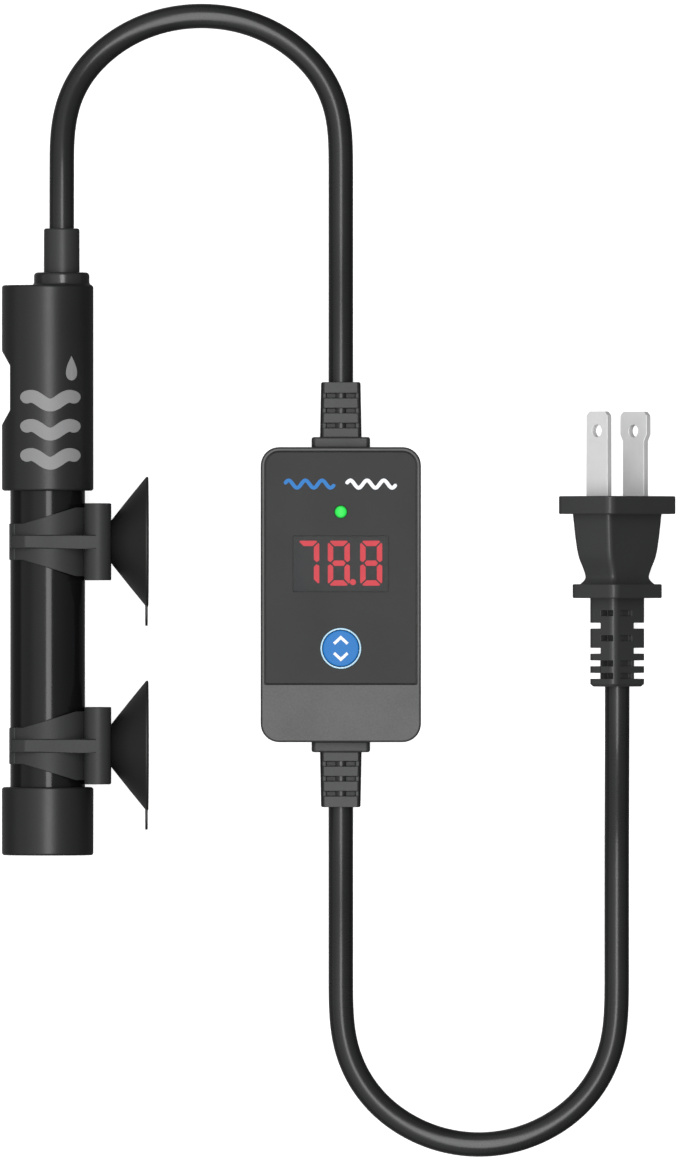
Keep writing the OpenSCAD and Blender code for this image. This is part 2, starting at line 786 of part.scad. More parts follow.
module light_chip() {
  color([0.9, 0.9, 0.8]) on_box() translate([0, light_y, 0]) block(2, 3, board_top, board_top + 1.2);
}

module button_ring() {
  color([0.9, 0.93, 0.96]) on_box() translate([0, button_y, panel_z]) difference() {
    rotate_extrude() rod_section(ring_r, panel_t + 0.35, 0, 0.2);
    translate([0, 0, -over]) cylinder(r = button_r + fit, h = panel_t + 0.35 + 2 * over);
  }
}

module button_cap() {
  stem_r = 1.5;
  top = panel_top + button_proud;
  flange_top = plate_z - fit;
  color([0.2, 0.5, 0.85]) on_box() translate([0, button_y, 0]) union() {
    translate([0, 0, flange_top - button_flange_t]) rotate_extrude() {
      rod_section(button_r, top - flange_top + button_flange_t, 0, 0.35);
      square([button_flange_r, button_flange_t]);
    }
    translate([0, 0, plunger_top]) cylinder(r = stem_r, h = flange_top - button_flange_t - plunger_top + 0.2);
  }
}

// Two printed arrows, one up and one down, moulded just proud of the button.
module button_arrows() {
  reach = 1.6;
  rise = 1.42;
  width = 0.38;
  color([0.95, 0.97, 1]) on_box() translate([0, button_y, panel_top + button_proud]) linear_extrude(0.12)
    for (side = [0, 1]) mirror([0, side]) translate([0, 1.2 + width]) polygon([
      [-reach, 0], [0, rise], [reach, 0], [reach - width, -width], [0, rise - 2 * width],
      [-reach + width, -width]
    ]);
}

module switch_body() {
  color([0.1, 0.1, 0.1]) on_box() translate([0, button_y, 0]) difference() {
    block(switch_w, switch_w, board_top, board_top + switch_t);
    translate([0, 0, board_top + 1]) cylinder(r = plunger_r + 0.1, h = switch_t);
  }
}

module switch_plunger() {
  color([0.9, 0.9, 0.88]) on_box() translate([0, button_y, board_top + 1 + button_travel + 0.3])
    cylinder(r = plunger_r, h = plunger_top - board_top - 1.3 - button_travel);
}

module circuit_board() {
  color([0.1, 0.4, 0.2]) on_box() difference() {
    block(board_w, board_h, board_z, board_top);
    at_posts() cylinder(r = screw_r + 0.2, h = box_t);
  }
}

module relay() {
  color([0.15, 0.3, 0.65]) on_box() translate([-9, -21, 0]) block(10, 9, board_top, board_top + 7.5);
}

module film_capacitor() {
  color([0.85, 0.65, 0.15]) on_box() translate([9.5, -22, 0]) block(10, 5, board_top, board_top + 7);
}

module bulk_capacitor() {
  color([0.1, 0.15, 0.35]) on_box() translate([10, -14, board_top])
    rotate_extrude() rod_section(3, 8, 0, 0.5);
}

module board_fuse() {
  color([0.85, 0.85, 0.8]) on_box() translate([-14, -12.5, board_top + 1.6]) rotate([0, 90, 0])
    cylinder(r = 1.5, h = 8);
}

module processor_chip() {
  color([0.08, 0.08, 0.08]) on_box() translate([-9, 21, 0]) block(6, 6, board_top, board_top + 1.2);
}

// Cores of both cords, from the cords' ends down to the board.
module board_leads() {
  end_y = box_h / 2 - 5.8;
  foot_z = board_top + 0.9 * core_thick;
  color([0.8, 0.8, 0.8]) on_box() for (x = [-1, 1], y = [-1, 1])
    rod([x * core_gap, y * end_y, split_z], [2 * x * core_gap, y * (end_y - 3.7), foot_z], core_thick);
}

// Strain relief drawn from the box's end face along +Y: its neck and inner flange lie inside the box,
// its collar and slotted tail outside.
module relief() {
  half = relief_t / 2;
  side = 0.7;
  end = relief_collar_t + relief_len;
  inside = box_wall + relief_flange_t;
  color([0.15, 0.15, 0.15]) difference() {
    union() {
      translate([0, -inside, 0]) rotate([-90, 0, 0]) cylinder(r = relief_r, h = inside + 0.5);
      translate([0, -inside, 0]) rotate([-90, 0, 0]) cylinder(r = relief_r + 1.1, h = relief_flange_t);
      translate([0, relief_collar_t, 0]) rotate([90, 0, 0]) linear_extrude(relief_collar_t)
        round_rect(relief_collar_w, relief_collar_h, 0.8);
      intersection() {
        rotate([-90, 0, 0]) linear_extrude(end) polygon([
          [-relief_w / 2, half - side], [-relief_w / 2 + side, half], [relief_w / 2 - side, half],
          [relief_w / 2, half - side], [relief_w / 2, side - half], [relief_w / 2 - side, -half],
          [-relief_w / 2 + side, -half], [-relief_w / 2, side - half]
        ]);
        translate([0, 0, -half - over]) linear_extrude(relief_t + 2 * over) polygon([
          [-relief_w / 2, 0], [relief_w / 2, 0], [relief_tip_w / 2, end], [-relief_tip_w / 2, end]
        ]);
      }
    }
    translate([0, -inside - over, 0]) rotate([-90, 0, 0])
      cylinder(r = cord_bore_r, h = inside + end + 2 * over);
    for (i = [0 : relief_slots - 1], s = [-1, 1])
      translate([0, relief_slot_first + i * relief_slot_pitch, s * (half + 1.3)])
        cube([relief_slot_span, relief_slot_w, 6], center = true);
  }
}

module upper_relief() {
  on_box() translate([0, box_h / 2, split_z]) relief();
}

module lower_relief() {
  on_box() translate([0, -box_h / 2, split_z]) rotate([0, 0, 180]) relief();
}

// ---- Plug ----

// Slab of the plug between two distances behind its front face, with rounded long edges.
module plug_slab(w, t, r, front, back) {
  translate([0, -front, 0]) rotate([90, 0, 0]) linear_extrude(back - front) round_rect(w, t, r);
}

// Neck that narrows to a waist and flares again, between the sections in neck_sizes.
module plug_neck() {
  slice = 0.02;
  for (i = [0 : len(neck_sizes) - 2]) {
    a = neck_sizes[i];
    b = neck_sizes[i + 1];
    hull() {
      plug_slab(a[1], a[2], edge_r, flange_t + a[0], flange_t + a[0] + slice, $fn = 24);
      plug_slab(b[1], b[2], edge_r, flange_t + b[0] - slice, flange_t + b[0], $fn = 24);
    }
  }
}

// Cuts across the plug's tail, round a whole core: two opposite corners, or a pair beside each other corner.
module tail_slot(back, corners) {
  reach = 10;
  ridge = 0.5;
  translate([0, -back, 0]) rotate([90, 0, 0]) linear_extrude(tail_slot_w) difference() {
    for (turn = [0, 180]) rotate(turn) {
      if (corners) {
        translate([0.1, -reach - 1.2]) square(reach);
      } else {
        translate([0, tail_core_r - 0.1]) square([tail[0] / 2 - ridge, reach]);
        translate([2.4, -0.5]) square([reach, tail_core_r + 0.5]);
      }
    }
    circle(tail_core_r);
  }
}

module carrier_block() {
  translate([0, -carrier_start - carrier[2] / 2, 0])
    cube([carrier[0], carrier[2], carrier[1]], center = true);
}

// Slots that both blades pass through, from the carrier's back out of the front face.
module blade_slots() {
  for (s = [-1, 1]) translate([0, 0, s * blade_pitch / 2])
    cube([blade_w, 2 * (carrier_start + carrier[2]), blade_t], center = true);
}

// The cord's two cores, spread from its end to the blades' roots.
module core_rods(gap) {
  root = carrier_start + carrier[2] + core_thick - gap;
  for (s = [-1, 1])
    rod([0, 0.5 - cord_depth, s * core_gap], [0, -root, s * (blade_pitch / 2 - 0.5)], core_thick + gap);
}

module plug_cores() {
  color([0.7, 0.45, 0.3]) on_plug() core_rods(0);
}

module plug_body() {
  rear = flange_t + neck_len;
  tail_start = rear + rear_flange[2];
  color([0.08, 0.08, 0.08]) on_plug() difference() {
    union() {
      plug_slab(plug_t, plug_w, flange_r, 0, flange_t);
      plug_neck();
      plug_slab(rear_flange[0], rear_flange[1], flange_r, rear, tail_start);
      plug_slab(tail[0], tail[1], edge_r, tail_start - 0.5, plug_len);
    }
    carrier_block();
    blade_slots();
    translate([0, -cord_depth, 0]) rotate([90, 0, 0]) cylinder(r = cord_bore_r, h = plug_len);
    core_rods(fit);
    for (i = [0 : 5]) {
      back = tail_start + tail_slot_first - tail_slot_w / 2 + i * tail_slot_pitch;
      if (i % 2 == 0 || i > 3) tail_slot(back, false);
      if (i % 2 == 1 || i > 3) tail_slot(back, true);
    }
  }
}

// Stiff insulator inside the plug that holds the two blades.
module blade_carrier() {
  color([0.85, 0.85, 0.8]) on_plug() difference() {
    carrier_block();
    blade_slots();
  }
}

// Blade seen along its thickness; the polarised one widens towards its tip.
module blade_outline(tip_w) {
  corner = 0.8;
  flare = blade_len - 7;
  half = blade_w / 2;
  polygon([
    [-half, -carrier_start - carrier[2]], [half, -carrier_start - carrier[2]], [half, flare - 1.5],
    [tip_w / 2, flare], [tip_w / 2, blade_len - corner], [tip_w / 2 - corner, blade_len],
    [-tip_w / 2 + corner, blade_len], [-tip_w / 2, blade_len - corner], [-tip_w / 2, flare],
    [-half, flare - 1.5]
  ]);
}

module blade(side, tip_w) {
  color([0.8, 0.8, 0.8]) on_plug() translate([0, 0, side * blade_pitch / 2 - blade_t / 2]) difference() {
    linear_extrude(blade_t) blade_outline(tip_w);
    translate([0, blade_len - blade_hole_end, -over]) cylinder(r = blade_hole_r, h = blade_t + 2 * over);
  }
}

module line_blade() {
  blade(1, blade_w);
}

module neutral_blade() {
  blade(-1, blade_tip_w);
}

heater_tube();
top_cap();
bottom_cap();
tube_cushion();
ceramic_core();
heating_coil();
core_spacers();
return_lead();
supply_lead();
thermal_cutoff();
tube_stopper();
crimp_sleeves();
temperature_probe();
gland_grommet();
cord_boot();
upper_clip();
lower_clip();
upper_suction_cup();
lower_suction_cup();
heater_cord();
back_shell();
front_shell();
shell_seal();
shell_screws();
face_panel();
display_lens();
display_segments();
display_module();
power_light();
light_chip();
button_ring();
button_cap();
button_arrows();
switch_body();
switch_plunger();
circuit_board();
relay();
film_capacitor();
bulk_capacitor();
board_fuse();
processor_chip();
board_leads();
upper_relief();
lower_relief();
mains_cord();
plug_body();
blade_carrier();
plug_cores();
line_blade();
neutral_blade();
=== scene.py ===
"""Looks of a submersible aquarium heater with its temperature controller and its mains plug."""
import json
from bisect import bisect_right
from math import cos, pi, radians, sin, sqrt, tan

import bmesh
import bpy
from mathutils import Matrix, Vector


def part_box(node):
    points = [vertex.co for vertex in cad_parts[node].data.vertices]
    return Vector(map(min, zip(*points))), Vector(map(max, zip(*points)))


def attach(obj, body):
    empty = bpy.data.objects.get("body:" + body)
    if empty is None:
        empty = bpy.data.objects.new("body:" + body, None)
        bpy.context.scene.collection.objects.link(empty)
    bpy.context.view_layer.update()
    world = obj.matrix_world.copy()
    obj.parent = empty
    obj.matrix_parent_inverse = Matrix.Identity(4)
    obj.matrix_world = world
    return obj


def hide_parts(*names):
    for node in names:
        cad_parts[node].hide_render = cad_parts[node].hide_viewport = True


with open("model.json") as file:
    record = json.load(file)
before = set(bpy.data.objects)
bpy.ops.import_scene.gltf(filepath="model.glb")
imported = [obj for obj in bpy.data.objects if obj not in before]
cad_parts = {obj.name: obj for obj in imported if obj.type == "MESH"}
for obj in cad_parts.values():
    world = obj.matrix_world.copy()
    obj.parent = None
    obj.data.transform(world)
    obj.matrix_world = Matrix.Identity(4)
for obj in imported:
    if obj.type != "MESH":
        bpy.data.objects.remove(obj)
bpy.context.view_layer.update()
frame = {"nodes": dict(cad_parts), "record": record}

MM = 0.001               # shapes are drawn in millimetres, and kept in metres
SET = "heater_set"       # the body of everything but the clips, the cups and the button


# ---- Places, taken from the frame ----

class Place:
    """The box that a CAD node fills at rest, in millimetres."""

    def __init__(self, node):
        self.low, self.high = (Vector(corner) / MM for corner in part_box(node))
        self.mid = (self.low + self.high) / 2
        self.size = self.high - self.low


tube, top_cap, bottom_cap, grommet, boot = map(Place, (
    "heater_tube", "top_cap", "bottom_cap", "gland_grommet", "cord_boot"))
back, front, panel, lens, lamp = map(Place, (
    "back_shell", "front_shell", "face_panel", "display_lens", "power_light"))
knob, knob_ring, knob_arrows = map(Place, ("button_cap", "button_ring", "button_arrows"))
carrier = Place("blade_carrier")

AXIS_X, AXIS_Z = tube.mid.x, tube.mid.z
TUBE_R = tube.size.x / 2
CAP_R = top_cap.size.z / 2
BOX_X, BOX_Y = back.mid.x, back.mid.y
BOX_W, BOX_H, BOX_T = back.size.x, back.size.y, lens.high.z + 0.2
SPLIT_Z = back.high.z
PLUG_X, PLUG_Y, PLUG_Z = carrier.mid.x, Place("plug_body").high.y, carrier.mid.z
PLUG_ROLL = radians(41.4)  # how far the plug is turned about its own length
BLADE_GAP = 12.7           # between the blades' middles
CORD_D = 5.6
CORD_BORE = CORD_D / 2 + 0.03
BOX_CORNER = 4.2           # radius of the housing's upright edges
FIT = 0.05                 # gap between a piece and the hole that it sits in

on_box = Matrix.Translation((BOX_X, BOX_Y, 0))
on_plug = Matrix.Translation((PLUG_X, PLUG_Y, PLUG_Z)) @ Matrix.Rotation(-PLUG_ROLL, 4, "Y")
along_y = Matrix.Rotation(-pi / 2, 4, "X")     # turns a shape drawn up Z to run along +Y
down_y = Matrix.Rotation(pi / 2, 4, "X")       # turns it to run along -Y
along_x = Matrix.Rotation(pi / 2, 4, "Y")      # turns it to run along +X
on_heater = Matrix.Translation((AXIS_X, 0, AXIS_Z)) @ along_y


def placed(name, data):
    """A new object in the scene."""
    thing = bpy.data.objects.new(name, data)
    bpy.context.collection.objects.link(thing)
    return thing


# ---- Camera and lights ----

def camera():
    """Straight above the set, which fills an upright picture from cord loop to cord loop."""
    height, view_h = 6, 0.2641
    in_scale = 0.012  # height of the plane that fills the view exactly
    eye = bpy.data.cameras.new("camera")
    eye.sensor_width = 36
    eye.lens = eye.sensor_width * (height - in_scale) / view_h
    stand = placed("camera", eye)
    stand.location = (0.0291, -0.0089, height)
    bpy.context.scene.camera = stand


def lights():
    """A long soft box straight overhead, in a room whose left side is the brighter one."""
    glow = bpy.data.lights.new("overhead_softbox", "AREA")
    glow.shape, glow.energy = "RECTANGLE", 26
    glow.size, glow.size_y = 0.56, 2.8
    softbox = placed("overhead_softbox", glow)
    softbox.location = (0.1, 0, 2)
    toward = Vector((0.04, 0, 0)) - softbox.location
    softbox.rotation_euler = toward.to_track_quat("-Z", "X").to_euler()
    softbox.visible_camera = False
    world = bpy.data.worlds.new("studio")
    bpy.context.scene.world = world
    world.use_nodes = True
    room = Nodes(world.node_tree)
    ways = room.node("ShaderNodeTexCoord").outputs["Generated"]
    parts = []
    for axis, levels in (
            ("X", [(0, 0.55), (0.08, 0.55), (0.18, 0.9), (0.42, 1.3), (0.5, 1.3), (0.58, 0.45),
                   (0.8, 0.35), (1, 0.15)]),
            ("Y", [(0, 0.35), (0.3, 0.8), (0.5, 1), (0.7, 0.8), (1, 0.35)]),
            ("Z", [(0, 0.25), (0.47, 0.25), (0.53, 1), (1, 1)])):
        way = room.node("ShaderNodeSeparateXYZ", {}, {"Vector": ways}, out=axis)
        parts.append(room.ramp(way * 0.5 + 0.5, *levels))
    background = room.tree.nodes["Background"]
    background.inputs["Color"].default_value = (1, 1, 1, 1)
    room.feed(background.inputs["Strength"], parts[0] * parts[1] * parts[2])
    bpy.context.scene.view_settings.view_transform = "Standard"


# ---- Nodes and their maths ----

class Value:
    """A number on a node, on which Python's own signs add Math nodes."""

    def __init__(self, nodes, socket):
        self.nodes, self.socket = nodes, socket

    def _math(self, operation, *terms):
        values = dict(enumerate(terms))
        return self.nodes.node("ShaderNodeMath", {"operation": operation}, values, out="Value")

    def __add__(self, other):
        return self._math("ADD", self, other)

    def __sub__(self, other):
        return self._math("SUBTRACT", self, other)

    def __rsub__(self, other):
        return self._math("SUBTRACT", other, self)

    def __mul__(self, other):
        return self._math("MULTIPLY", self, other)

    def __truediv__(self, other):
        return self._math("DIVIDE", self, other)

    __radd__ = __add__
    __rmul__ = __mul__


class Nodes:
    """The node tree of a finish, a shape or the room, and what adds nodes to it."""

    def __init__(self, tree):
        self.tree = tree

    def node(self, kind, settings=None, values=None, out=None):
        """A node of any kind: its settings first, then the values or links of its sockets."""
        made = self.tree.nodes.new(kind)
        for key, value in (settings or {}).items():
            if key == "stops":
                ramp = made.color_ramp
                while len(ramp.elements) < len(value):
                    ramp.elements.new(0.5)
                for element, (at, level) in zip(ramp.elements, value):
                    element.position, element.color = at, (level, level, level, 1)
            else:
                setattr(made, key, value)
        for key, value in (values or {}).items():
            self.feed(made.inputs[key], value)
        return Value(self, made.outputs[out]) if out else made

    def feed(self, socket, value):
        if isinstance(value, Value):
            value = value.socket
        if isinstance(value, bpy.types.NodeSocket):
            self.tree.links.new(value, socket)
        else:
            socket.default_value = value

    def ramp(self, value, *stops):
        """A grey ramp of (place, level) stops."""
        return self.node("ShaderNodeValToRGB", {"stops": stops}, {"Fac": value}, out="Color")


class Finish(Nodes):
    """A material with one Principled shader, painted on Object coordinates."""

    def __init__(self, name):
        self.name = name
        self.material = bpy.data.materials.new(name)
        self.material.use_nodes = True
        super().__init__(self.material.node_tree)
        self.tree.nodes.clear()
        self.shader = self.node("ShaderNodeBsdfPrincipled")
        self.node("ShaderNodeOutputMaterial", {}, {"Surface": self.shader.outputs["BSDF"]})
        self.position = self.node("ShaderNodeTexCoord").outputs["Object"]

    def noise(self, size, detail=2, stretch=(1, 1, 1)):
        """Soft noise from 0 to 1 whose spots are about `size` millimetres across."""
        scaled = self.node("ShaderNodeMapping", {}, {"Vector": self.position, "Scale": stretch})
        values = {"Vector": scaled.outputs["Vector"], "Scale": 1 / (size * MM), "Detail": detail}
        return self.node("ShaderNodeTexNoise", {}, values, out="Fac")

    def mix(self, amount, a, b):
        """A colour between a and b."""
        made = self.node("ShaderNodeMix", {"data_type": "RGBA", "clamp_factor": True})
        self.feed(made.inputs[0], amount)
        self.feed(made.inputs[6], a)
        self.feed(made.inputs[7], b)
        return made.outputs[2]

    def bump(self, height, depth):
        """Relief of `depth` millimetres from a height between 0 and 1."""
        made = self.node("ShaderNodeBump", {}, {"Height": height, "Distance": depth * MM})
        self.feed(self.shader.inputs["Normal"], made.outputs["Normal"])

    def along(self, axis):
        """How far along an axis each point lies, in millimetres."""
        return self.node("ShaderNodeSeparateXYZ", {}, {"Vector": self.position}, out=axis) / MM

    def distance_from(self, x, y):
        """How far each point lies, seen from above, from a place in millimetres."""
        values = {0: self.position, 1: (1, 1, 0)}
        flat = self.node("ShaderNodeVectorMath", {"operation": "MULTIPLY"}, values)
        values = {0: flat.outputs["Vector"], 1: (x * MM, y * MM, 0)}
        return self.node("ShaderNodeVectorMath", {"operation": "DISTANCE"}, values, out="Value") / MM

    def set(self, **values):
        for key, value in values.items():
            self.feed(self.shader.inputs[key.replace("_", " ")], value)


def grey(level, tint=0.0):
    """A near-neutral colour; a positive tint makes it a little cooler."""
    return (level * (1 - tint), level, level * (1 + tint), 1)


def shaded(colour, by):
    """The colour made darker or lighter, with full alpha."""
    return [min(1, c * by) for c in colour] + [1]


def moulded(name, level, roughness, grain=0.25, depth=0.02, mottle=0.12, tint=0.02, shine=0.5,
            painted_shade_below=None):
    """Moulded plastic or rubber: a fine spark-eroded grain, faint flow marks, uneven sheen, and painted
    shade below a given height.
    """
    finish = Finish(name)
    flow = finish.noise(14, 3)
    speck = finish.noise(grain, 3)
    cloud = flow * 0.6 + speck * 0.4
    shade = finish.mix(cloud, grey(level * (1 - mottle), tint), grey(level * (1 + mottle), tint))
    # Painted shade: below the given height, the sides and recess floors take a much darker copy of the
    # colour in place of real shade.
    if painted_shade_below:
        top = finish.ramp(finish.along("Z") - (painted_shade_below - 0.5), (0.48, 0), (0.52, 1))
        side = finish.mix(cloud, grey(level * 0.3, tint), grey(level * 0.36, tint))
        shade = finish.mix(top, side, shade)
    uneven = (flow - 0.5) * 0.12 + (speck - 0.5) * 0.06
    finish.set(Base_Color=shade, Roughness=roughness + uneven, Specular_IOR_Level=shine)
    finish.bump(speck, depth)
    return finish


def moulded_colour(name, colour, roughness, mottle=0.1, shine=0.5):
    """Coloured moulded plastic with a faint grain."""
    finish = Finish(name)
    cloud = finish.noise(6, 3) * 0.5 + finish.noise(0.3, 2) * 0.5
    shade = finish.mix(cloud, shaded(colour, 1 - mottle), shaded(colour, 1 + mottle))
    finish.set(Base_Color=shade, Roughness=roughness + (cloud - 0.5) * 0.1, Specular_IOR_Level=shine)
    finish.bump(cloud, 0.01)
    return finish


def drawn(name, level, roughness, stretch, coat=0.0, shine=0.5):
    """A surface with fine lines along its length, where `stretch` is small."""
    finish = Finish(name)
    lines = finish.noise(0.12, 2, stretch)
    cloud = finish.noise(9, 3)
    shade = finish.mix(lines * 0.3 + cloud * 0.7, grey(level * 0.85, 0.03), grey(level * 1.15, 0.03))
    uneven = (lines - 0.5) * 0.06 + (cloud - 0.5) * 0.08
    finish.set(Base_Color=shade, Roughness=roughness + uneven)
    finish.set(Coat_Weight=coat, Coat_Roughness=0.08, Specular_IOR_Level=shine)
    finish.bump(lines, 0.002)
    return finish


def metal(name, colour, roughness, stretch=(1, 1, 1), metallic=1.0):
    """Plated or drawn metal with fine brushed lines and cloudy polish."""
    finish = Finish(name)
    lines = finish.noise(0.1, 2, stretch)
    cloud = finish.noise(4, 3)
    shade = finish.mix(cloud * 0.6 + lines * 0.4, shaded(colour, 0.86), shaded(colour, 1.08))
    uneven = (lines - 0.5) * 0.14 + (cloud - 0.5) * 0.1
    finish.set(Base_Color=shade, Metallic=metallic, Roughness=roughness + uneven)
    finish.bump(lines, 0.003)
    return finish


def lit(name, colour, power, spot=None):
    """Lit plastic; inside a spot of (x, y, radius) it glows fully, and its edge is darker."""
    finish = Finish(name)
    speck = finish.noise(0.4, 2)
    shade = finish.mix(speck * 0.25, shaded(colour, 1), shaded(colour, 0.85))
    if spot:
        x, y, radius = spot
        edge = finish.ramp(finish.distance_from(x, y) / radius, (0.72, 0), (0.98, 1))
        shade = finish.mix(edge, shade, shaded(colour, 0.3))
    finish.set(Base_Color=shaded(colour, 0.4), Emission_Color=shade, Emission_Strength=power)
    finish.set(Roughness=speck * 0.1 + 0.3, Specular_IOR_Level=0.25)
    finish.bump(speck, 0.004)
    return finish


def smoked():
    """Tinted clear plastic, with faint marks in its polish."""
    finish = Finish("lens_smoke")
    cloud = finish.noise(5, 3)
    finish.set(Base_Color=finish.mix(cloud, grey(0.035, 0.06), grey(0.045, 0.06)), Specular_IOR_Level=0.3)
    finish.set(Roughness=cloud * 0.1 + 0.36, Alpha=cloud * 0.06 + 0.3)
    finish.bump(cloud, 0.002)
    return finish


FINISHES = {finish.name: finish.material for finish in (
    drawn("tube_black", 0.006, 0.16, (1, 0.02, 1), coat=0.25, shine=0.22),
    moulded("cap_black", 0.016, 0.35, grain=0.3, depth=0.01, shine=0.45),
    moulded("clip_grey", 0.034, 0.5, grain=0.35, depth=0.02, shine=0.35),
    moulded("cup_rubber", 0.017, 0.5, grain=0.6, depth=0.01, tint=0.0, shine=0.4),
    moulded("gland_rubber", 0.035, 0.42, grain=0.3, depth=0.012, shine=0.4),
    moulded("collar_gloss", 0.022, 0.22, grain=0.4, depth=0.006, shine=0.6),
    # Painted shade: the sleeve's sides and slot floors, just below its top, are painted dark.
    moulded("relief_grey", 0.034, 0.42, shine=0.4, painted_shade_below=SPLIT_Z + 4.0),
    drawn("cord_black", 0.015, 0.28, (1, 1, 1), coat=0.1, shine=0.42),
    # Painted shade: the housing's sides, below its front face, are painted dark to give a shaded outline.
    moulded("housing_grey", 0.12, 0.5, grain=0.45, depth=0.07, mottle=0.55, tint=0.0, shine=0.3,
            painted_shade_below=front.high.z - 0.05),
    moulded("back_black", 0.03, 0.5, grain=0.45, depth=0.03),
    moulded("face_black", 0.027, 0.5, grain=0.5, depth=0.006, mottle=0.06, tint=0.0, shine=0.25),
    smoked(),
    lit("digit_red", (0.95, 0.05, 0.075), 1.36),
    lit("light_green", (0.03, 0.8, 0.09), 0.72, (lamp.mid.x, lamp.mid.y, lamp.size.x / 2)),
    moulded_colour("button_blue", (0.012, 0.19, 0.56), 0.4, shine=0.25),
    moulded_colour("bezel_blue", (0.48, 0.74, 0.9), 0.2),
    moulded_colour("mark_white", (0.86, 0.9, 0.95), 0.35, mottle=0.04),
    moulded_colour("print_grey", (0.27, 0.27, 0.275), 0.5, mottle=0.14),
    moulded("plug_black", 0.042, 0.36, grain=0.3, depth=0.012, shine=0.4),
    moulded_colour("carrier_white", (0.75, 0.74, 0.7), 0.5),
    metal("blade_nickel", (0.97, 0.97, 0.97), 0.42, (1, 0.03, 1), metallic=0.35),
    moulded_colour("core_white", (0.85, 0.82, 0.76), 0.7),
    metal("wire_metal", (0.5, 0.48, 0.45), 0.4),
    metal("lead_copper", (0.7, 0.4, 0.26), 0.35),
    moulded_colour("mica_tan", (0.6, 0.52, 0.38), 0.5),
    moulded_colour("stopper_red", (0.35, 0.06, 0.03), 0.5),
    moulded_colour("cushion_pale", (0.6, 0.6, 0.57), 0.6),
    metal("can_silver", (0.7, 0.7, 0.7), 0.4),
    moulded("probe_black", 0.02, 0.4),
    metal("screw_steel", (0.55, 0.55, 0.57), 0.35),
    moulded("module_black", 0.015, 0.45),
    moulded_colour("chip_cream", (0.8, 0.78, 0.6), 0.4),
    moulded_colour("board_green", (0.02, 0.14, 0.05), 0.35, mottle=0.3),
    moulded_colour("relay_blue", (0.03, 0.08, 0.3), 0.35),
    moulded_colour("film_yellow", (0.6, 0.38, 0.03), 0.35),
)}
SLOT_OF = {entry["node"]: entry["material_slot"] for entry in frame["record"]["subparts"]}


def finish_cad_nodes():
    """Every node of the frame takes its slot's finish."""
    for name, thing in frame["nodes"].items():
        thing.data.materials.clear()
        thing.data.materials.append(FINISHES[SLOT_OF[name]])


# ---- Shapes ----

def rounded(corners, closed=True, steps=6):
    """An outline of (x, y, radius) corners, each turned into an arc of that radius."""
    points = []
    last = len(corners) - 1
    for i, (x, y, radius) in enumerate(corners):
        if radius <= 0 or (not closed and i in (0, last)):
            points.append((x, y))
            continue
        here = Vector((x, y))
        back_way = Vector(corners[i - 1][:2]) - here
        on_way = Vector(corners[(i + 1) % len(corners)][:2]) - here
        half = back_way.angle(on_way) / 2
        reach = min(radius / tan(half), 0.499 * back_way.length, 0.499 * on_way.length)
        back_way.normalize()
        on_way.normalize()
        middle = here + (back_way + on_way).normalized() * reach / cos(half)
        start = here + back_way * reach - middle
        turn = start.angle_signed(here + on_way * reach - middle)
        for k in range(steps + 1):
            arm = start.copy()
            arm.rotate(Matrix.Rotation(-turn * k / steps, 2))
            points.append(tuple(middle + arm))
    return points


def rectangle(w, h, radius, steps=6):
    """A rounded rectangle round the origin, anticlockwise."""
    x, y = w / 2, h / 2
    return rounded([(x, y, radius), (-x, y, radius), (-x, -y, radius), (x, -y, radius)], steps=steps)


def mesh_of(points, faces):
    """A closed mesh whose faces point outwards, in millimetres."""
    mesh = bpy.data.meshes.new("shape")
    mesh.from_pydata(points, [], faces)
    return tidied(mesh)


def tidied(mesh, dissolve=False):
    """Merges doubled points and turns the faces outwards."""
    work = bmesh.new()
    work.from_mesh(mesh)
    bmesh.ops.remove_doubles(work, verts=work.verts, dist=1e-4)
    if dissolve:
        bmesh.ops.dissolve_limit(work, angle_limit=radians(0.6), verts=work.verts, edges=work.edges)
    bmesh.ops.recalc_face_normals(work, faces=work.faces)
    work.to_mesh(mesh)
    work.free()
    return mesh


def lathe(profile, steps=96, ring=False):
    """Turns a profile of (radius, height) points round Z; a ring's profile closes on itself."""
    angles = [2 * pi * k / steps for k in range(steps)]
    points, rows = [], []
    for r, h in profile:
        count = 1 if r < 1e-6 else steps
        rows.append(range(len(points), len(points) + count))
        points += [(r * cos(a), r * sin(a), h) for a in angles[:count]]
    faces = []
    for a, b in zip(rows, rows[1:] + (rows[:1] if ring else [])):
        for k in range(steps):
            n = (k + 1) % steps
            if len(a) == 1 and len(b) == 1:
                continue
            if len(a) == 1:
                faces.append((a[0], b[n], b[k]))
            elif len(b) == 1:
                faces.append((a[k], a[n], b[0]))
            else:
                faces.append((a[k], a[n], b[n], b[k]))
    return mesh_of(points, faces)


def loft(rings):
    """A solid through rings that have the same number of points, closed by a flat face at each end."""
    count = len(rings[0])
    faces = [tuple(range(count)), tuple(range((len(rings) - 1) * count, len(rings) * count))]
    for first in range(0, (len(rings) - 1) * count, count):
        for k in range(count):
            a, b = first + k, first + (k + 1) % count
            faces.append((a, b, b + count, a + count))
    return mesh_of([p for ring in rings for p in ring], faces)


def prism(outline, low, high):
    """An outline drawn on X and Y, extruded from one height to another."""
    return loft([[(x, y, z) for x, y in outline] for z in (low, high)])


def edge_rounding(radius, steps=4):
    """(inset, drop) pairs down a rounded edge, from its top to its side."""
    angles = [pi / 2 * k / steps for k in range(steps + 1)]
    return [(radius * (1 - sin(a)), radius * (1 - cos(a))) for a in angles]


def slab(w, h, radius, low, high, top_edge=0.0, bottom_edge=0.0):
    """A rounded rectangle between two heights, with its top and bottom edges rounded."""
    rings = []

    def add(inset, z):
        outline = rectangle(w - 2 * inset, h - 2 * inset, max(radius - inset, 0.05))
        rings.append([(x, y, z) for x, y in outline])

    for inset, drop in edge_rounding(bottom_edge) if bottom_edge else [(0, 0)]:
        add(inset, low + drop)
    for inset, drop in reversed(edge_rounding(top_edge)) if top_edge else [(0, 0)]:
        add(inset, high - drop)
    return loft(rings)


